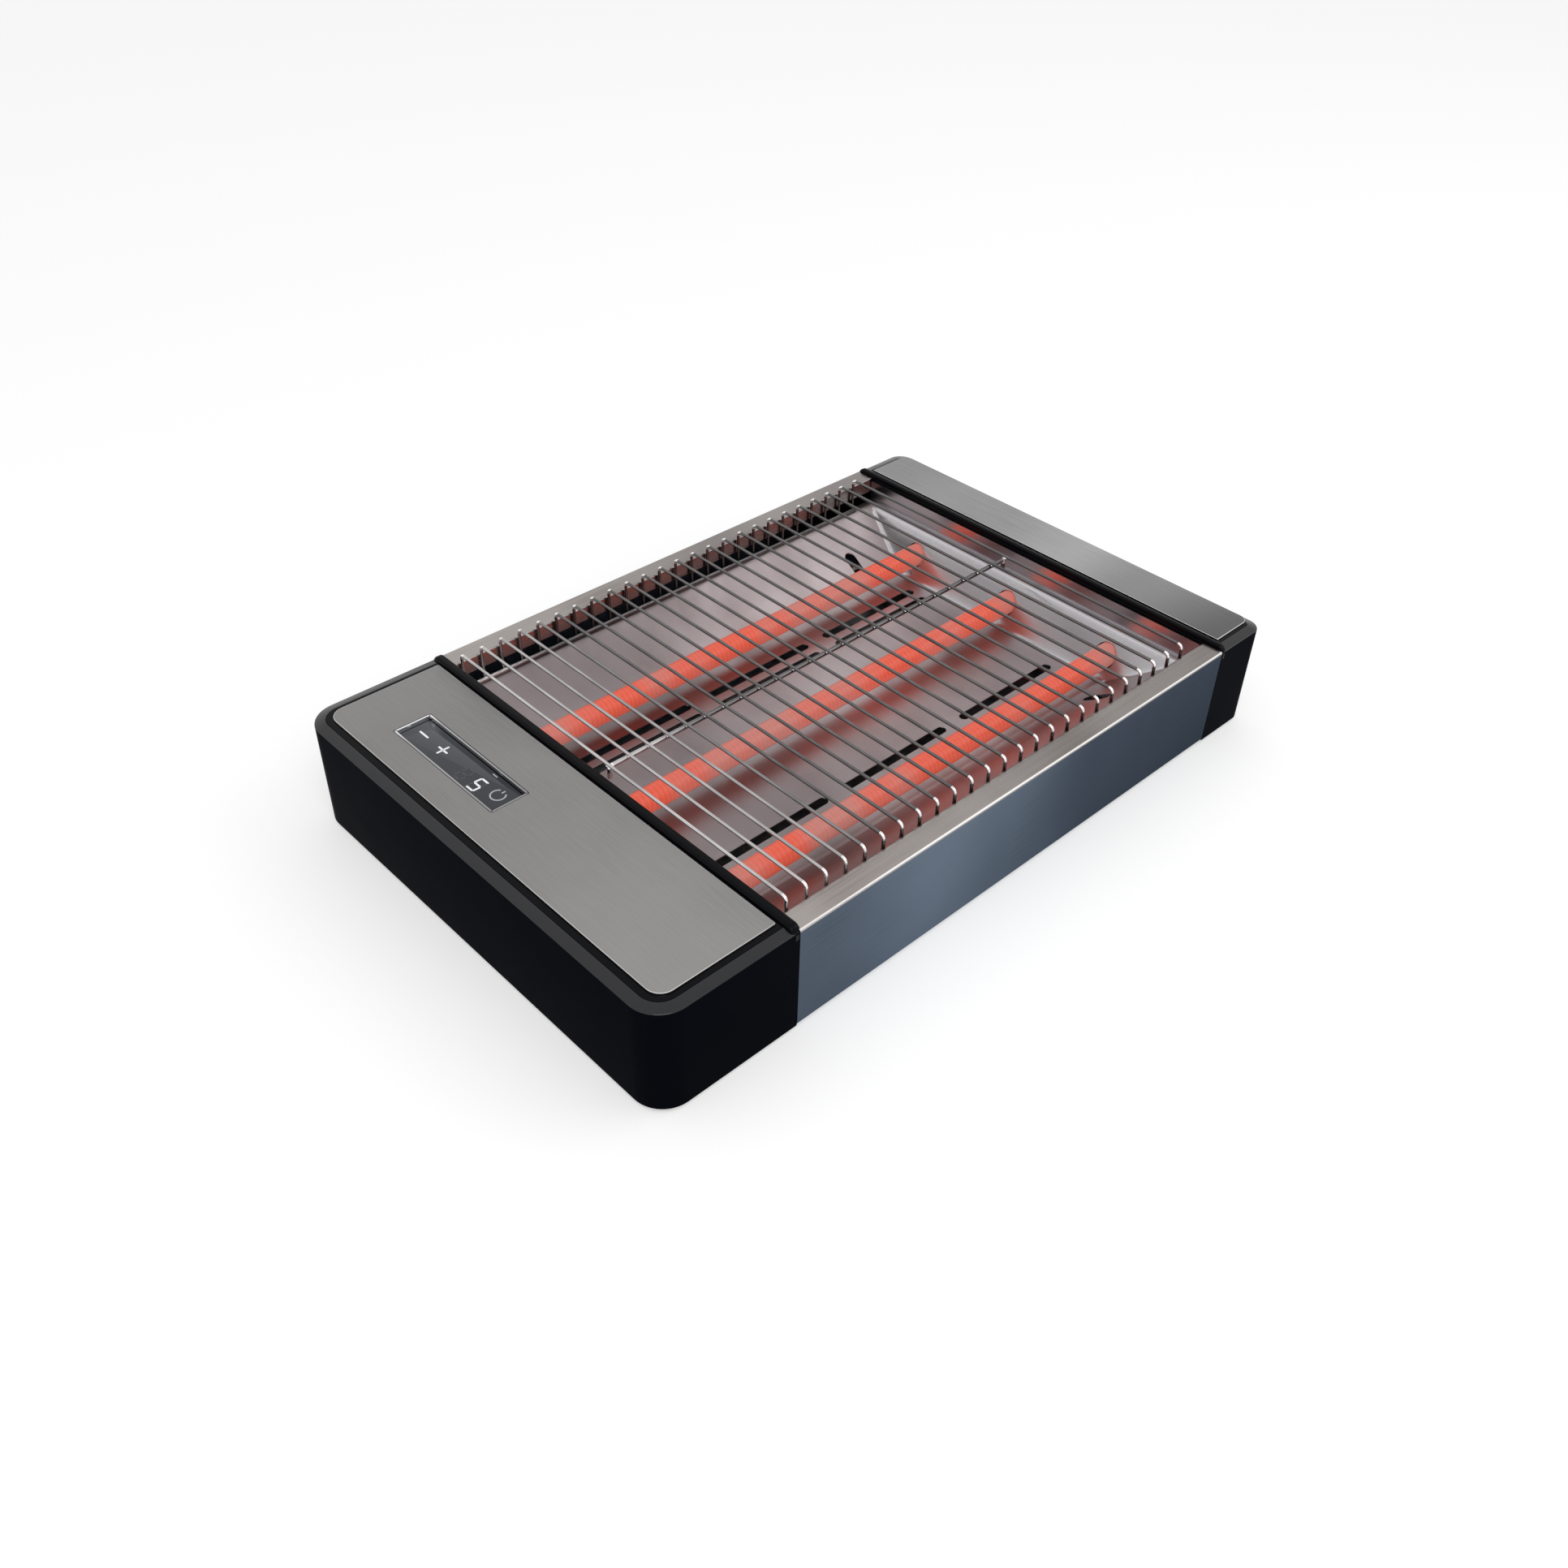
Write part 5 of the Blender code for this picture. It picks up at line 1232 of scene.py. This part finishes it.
# %% Tray front
GRIP_EDGE = 0.0004
SCOOP_LENGTH = 0.045
SCOOP_DEPTH = 0.0022
SCOOP_SHARE = 0.55
SCOOP_CORNER = 0.003
SCOOP_EDGE = 0.0006
grip = cube("tray_grip", front_low, front_high)
with editing(grip):
    pick_level(grip, "Y", front_high.y)
    round_picked(GRIP_EDGE, 3)
front_middle = (front_low + front_high) / 2
scoop_top = front_low.z + SCOOP_SHARE * (front_high.z - front_low.z)
scoop_end = front_high.y - SCOOP_DEPTH
scoop = cube(
    "scoop", (front_middle.x - SCOOP_LENGTH / 2, scoop_end, front_low.z - OVERRUN),
    (front_middle.x + SCOOP_LENGTH / 2, front_high.y + OVERRUN, scoop_top),
)
with editing(scoop):
    pick_edges(scoop, lambda a, b: same(a.z, scoop_top) and same(b.z, scoop_top) and same(a.x, b.x))
    round_picked(SCOOP_CORNER, 6)
    pick_level(scoop, "Y", scoop_end)
    round_picked(SCOOP_EDGE, 3)
cut(grip, scoop)
finish_piece(grip, "satin_black", "tray", ("tray_front",))

# %% [markdown]
# ## Feet, screws and the cord's bush
# One foot and one screw are modelled, and each copy gets its own mesh.

# %% Pins and copies
def headed_pin(name, node, head, pin_radius, edge, steps, sides):
    """A round head with a thinner pin on top, together as high as the CAD node."""
    low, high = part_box(node)
    radius = (high.x - low.x) / 2
    pin = cylinder(name, "Z", (0, 0, 0), 0, head, radius, sides)
    with editing(pin):
        pick_level(pin, "Z", 0)
        round_picked(edge, steps)
        pick_top(pin)
        bpy.ops.mesh.inset(thickness=radius - pin_radius)
        pull((0, 0, high.z - low.z - head))
    return pin


def place_copies(first, names, finish):
    """Puts one copy of a model on each CAD node's place, then throws the model away."""
    for node, name in names.items():
        spot = middle_of(node)
        only(first)
        bpy.ops.object.duplicate(linked=False)
        twin = bpy.context.object
        twin.name = name
        twin.location = (spot.x, spot.y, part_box(node)[0].z)
        bpy.ops.object.transform_apply(location=True, rotation=True, scale=True)
        finish_piece(twin, finish, replaced=(node,))
    bpy.data.objects.remove(first, do_unlink=True)

# %% Feet
FOOT_STEM_RADIUS = 0.0025
FOOT_EDGE = 0.0006
foot = headed_pin(
    "foot", "foot_control_front", BOTTOM - FIT, FOOT_STEM_RADIUS, FOOT_EDGE, 4, FINE_SIDES
)
names = {
    f"foot_{end}_{side}": f"rubber_foot_{end}_{side}"
    for end in ("control", "far") for side in ("front", "rear")
}
place_copies(foot, names, "rubber_black")

# %% Screws
SCREW_HEAD = 0.0008
SCREW_RADIUS = 0.0015
SCREW_EDGE = 0.0004
CROSS = (0.0016, 0.0003)
CROSS_DEPTH = 0.7
screw = headed_pin(
    "screw", "far_cover_screw_1", SCREW_HEAD, SCREW_RADIUS, SCREW_EDGE, 3, MEDIUM_SIDES
)
for x, y in (CROSS, CROSS[::-1]):
    cut(screw, cube("cross", (-x, -y, -OVERRUN), (x, y, SCREW_HEAD * CROSS_DEPTH)))
names = {
    f"{end}_cover_screw_{n}": f"cross_screw_{end}_{n}"
    for end, last in SCREWS.items() for n in range(1, last + 1)
}
place_copies(screw, names, "zinc_plated")

# %% Bush
CORD_BORE_RADIUS = 0.0038
collar_y = INNER_WALL - FIT
bush = cylinder("inlet_bush", "Y", bush_spot, bush_high.y, collar_y, bush_radius, FINE_SIDES)
with editing(bush):
    pick_faces(bush, lambda middle, normal: normal.y < -FLAT)
    bpy.ops.mesh.extrude_region_shrink_fatten(TRANSFORM_OT_shrink_fatten={"value": 0})
    wider = 1 + INLET_COLLAR_STEP / bush_radius
    centre = (bush_spot.x, collar_y, bush_spot.z)
    bpy.ops.transform.resize(value=(wider, 1, wider), center_override=centre)
    pull((0, bush_low.y - collar_y, 0))
start, end = bush_low.y - OVERRUN, bush_high.y + OVERRUN
cut(bush, cylinder("bore", "Y", bush_spot, start, end, CORD_BORE_RADIUS, MEDIUM_SIDES))
finish_piece(bush, "rubber_black", replaced=("cord_inlet_bush",))

# %% [markdown]
# ## Pieces kept from the frame
# The flat and hidden pieces are right as they are. Each gets its finish, by its material slot.

# %% Finishes for the kept pieces
KEPT = {
    "cover_black": ["control_base_cover", "far_base_cover"],
    # The end strips take the bright strip steel, painted light.
    "painted_light_strip_steel": ["control_end_strip", "far_end_strip"],
    "zinc_plated": [
        "base_plate", "tray_guide_control", "tray_guide_far", "far_link_bar", "thermal_cutout",
    ],
    "hot_wire": [f"heating_coil_{row}" for row in ROWS],
    "ceramic_white": [f"ceramic_holder_{row}_{end}" for row in ROWS for end in ("control", "far")],
    "board_green": ["display_board", "power_board"],
    "case_white": ["digit_module", "terminal_block", "ribbon_cable"],
    "case_blue": ["relay"],
    "tape_yellow": ["filter_capacitor", "transformer"],
    "rubber_black": ["touch_pad_minus", "touch_pad_plus", "touch_pad_power"],
    "sleeve_glass": [f"element_lead_{row}" for row in ROWS] + ["return_lead"],
}
for finish, names in KEPT.items():
    for name in names:
        nodes[name].data.materials.clear()
        nodes[name].data.materials.append(FINISHES[finish])
print("kept pieces:", sum(map(len, KEPT.values())))

# %% [markdown]
# ## Studio
# A white world lights everything softly, and a large lamp above the left front gives the highlights
# on the mouldings. Camera, glossy and transmission rays see plain white, so the background is white
# and metal shows it. The floor keeps the toaster's shadow.

# %% World
WORLD_LEVEL = 0.70
WHITE = (1, 1, 1, 1)


def split_light(tree, lighting, shown, output):
    """Lights with one shader, and shows another to camera, glossy and transmission rays."""
    path = add_node(tree, "LightPath").outputs
    seen = calculate(tree, "ADD", path["Is Camera Ray"], path["Is Glossy Ray"], True)
    seen = calculate(tree, "ADD", seen, path["Is Transmission Ray"], True)
    mixed = add_node(tree, "MixShader", Fac=seen)
    tree.links.new(lighting.outputs[0], mixed.inputs[1])
    tree.links.new(shown.outputs[0], mixed.inputs[2])
    add_node(tree, output, Surface=mixed.outputs[0])


def empty_tree(holder):
    """The node tree of a world or a material, with nothing in it."""
    holder.use_nodes = True
    holder.node_tree.nodes.clear()
    return holder.node_tree


world = bpy.data.worlds.new("studio")
scene.world = world
tree = empty_tree(world)
lighting = add_node(tree, "Background", Color=WHITE, Strength=WORLD_LEVEL)
shown = add_node(tree, "Background", Color=WHITE, Strength=1.0)
split_light(tree, lighting, shown, "OutputWorld")
print("world level", WORLD_LEVEL)

# %% Floor
FLOOR_SIZE = 6.0
FLOOR_COLOUR = (0.80, 0.80, 0.80, 1)
FLOOR_GLOW = 0.34
floor = new_piece("floor", bpy.ops.mesh.primitive_plane_add, size=FLOOR_SIZE)
matter = bpy.data.materials.new("floor_white")
tree = empty_tree(matter)
paint = add_node(tree, "BsdfDiffuse", Color=FLOOR_COLOUR)
glow = add_node(tree, "Emission", Color=WHITE, Strength=FLOOR_GLOW)
both = add_node(tree, "AddShader")
tree.links.new(paint.outputs[0], both.inputs[0])
tree.links.new(glow.outputs[0], both.inputs[1])
split_light(tree, paint, both, "OutputMaterial")
floor.data.materials.append(matter)
print("floor", FLOOR_SIZE, "m wide")

# %% Lamps
def soft_lamp(name, place, size, power):
    """A square area lamp that faces the middle of the toaster."""
    data = bpy.data.lights.new(name, "AREA")
    data.shape = "SQUARE"
    data.size = size
    data.energy = power
    lamp = bpy.data.objects.new(name, data)
    lamp.location = place
    lamp.rotation_mode = "QUATERNION"
    lamp.rotation_quaternion = (-Vector(place)).to_track_quat("-Z", "Y")
    scene.collection.objects.link(lamp)
    return lamp


soft_lamp("key", place=(-0.7, -0.9, 1.3), size=0.9, power=6.0)
soft_lamp("fill", place=(1.0, -0.8, 1.1), size=1.0, power=3.0)
print("lamps: key and fill")
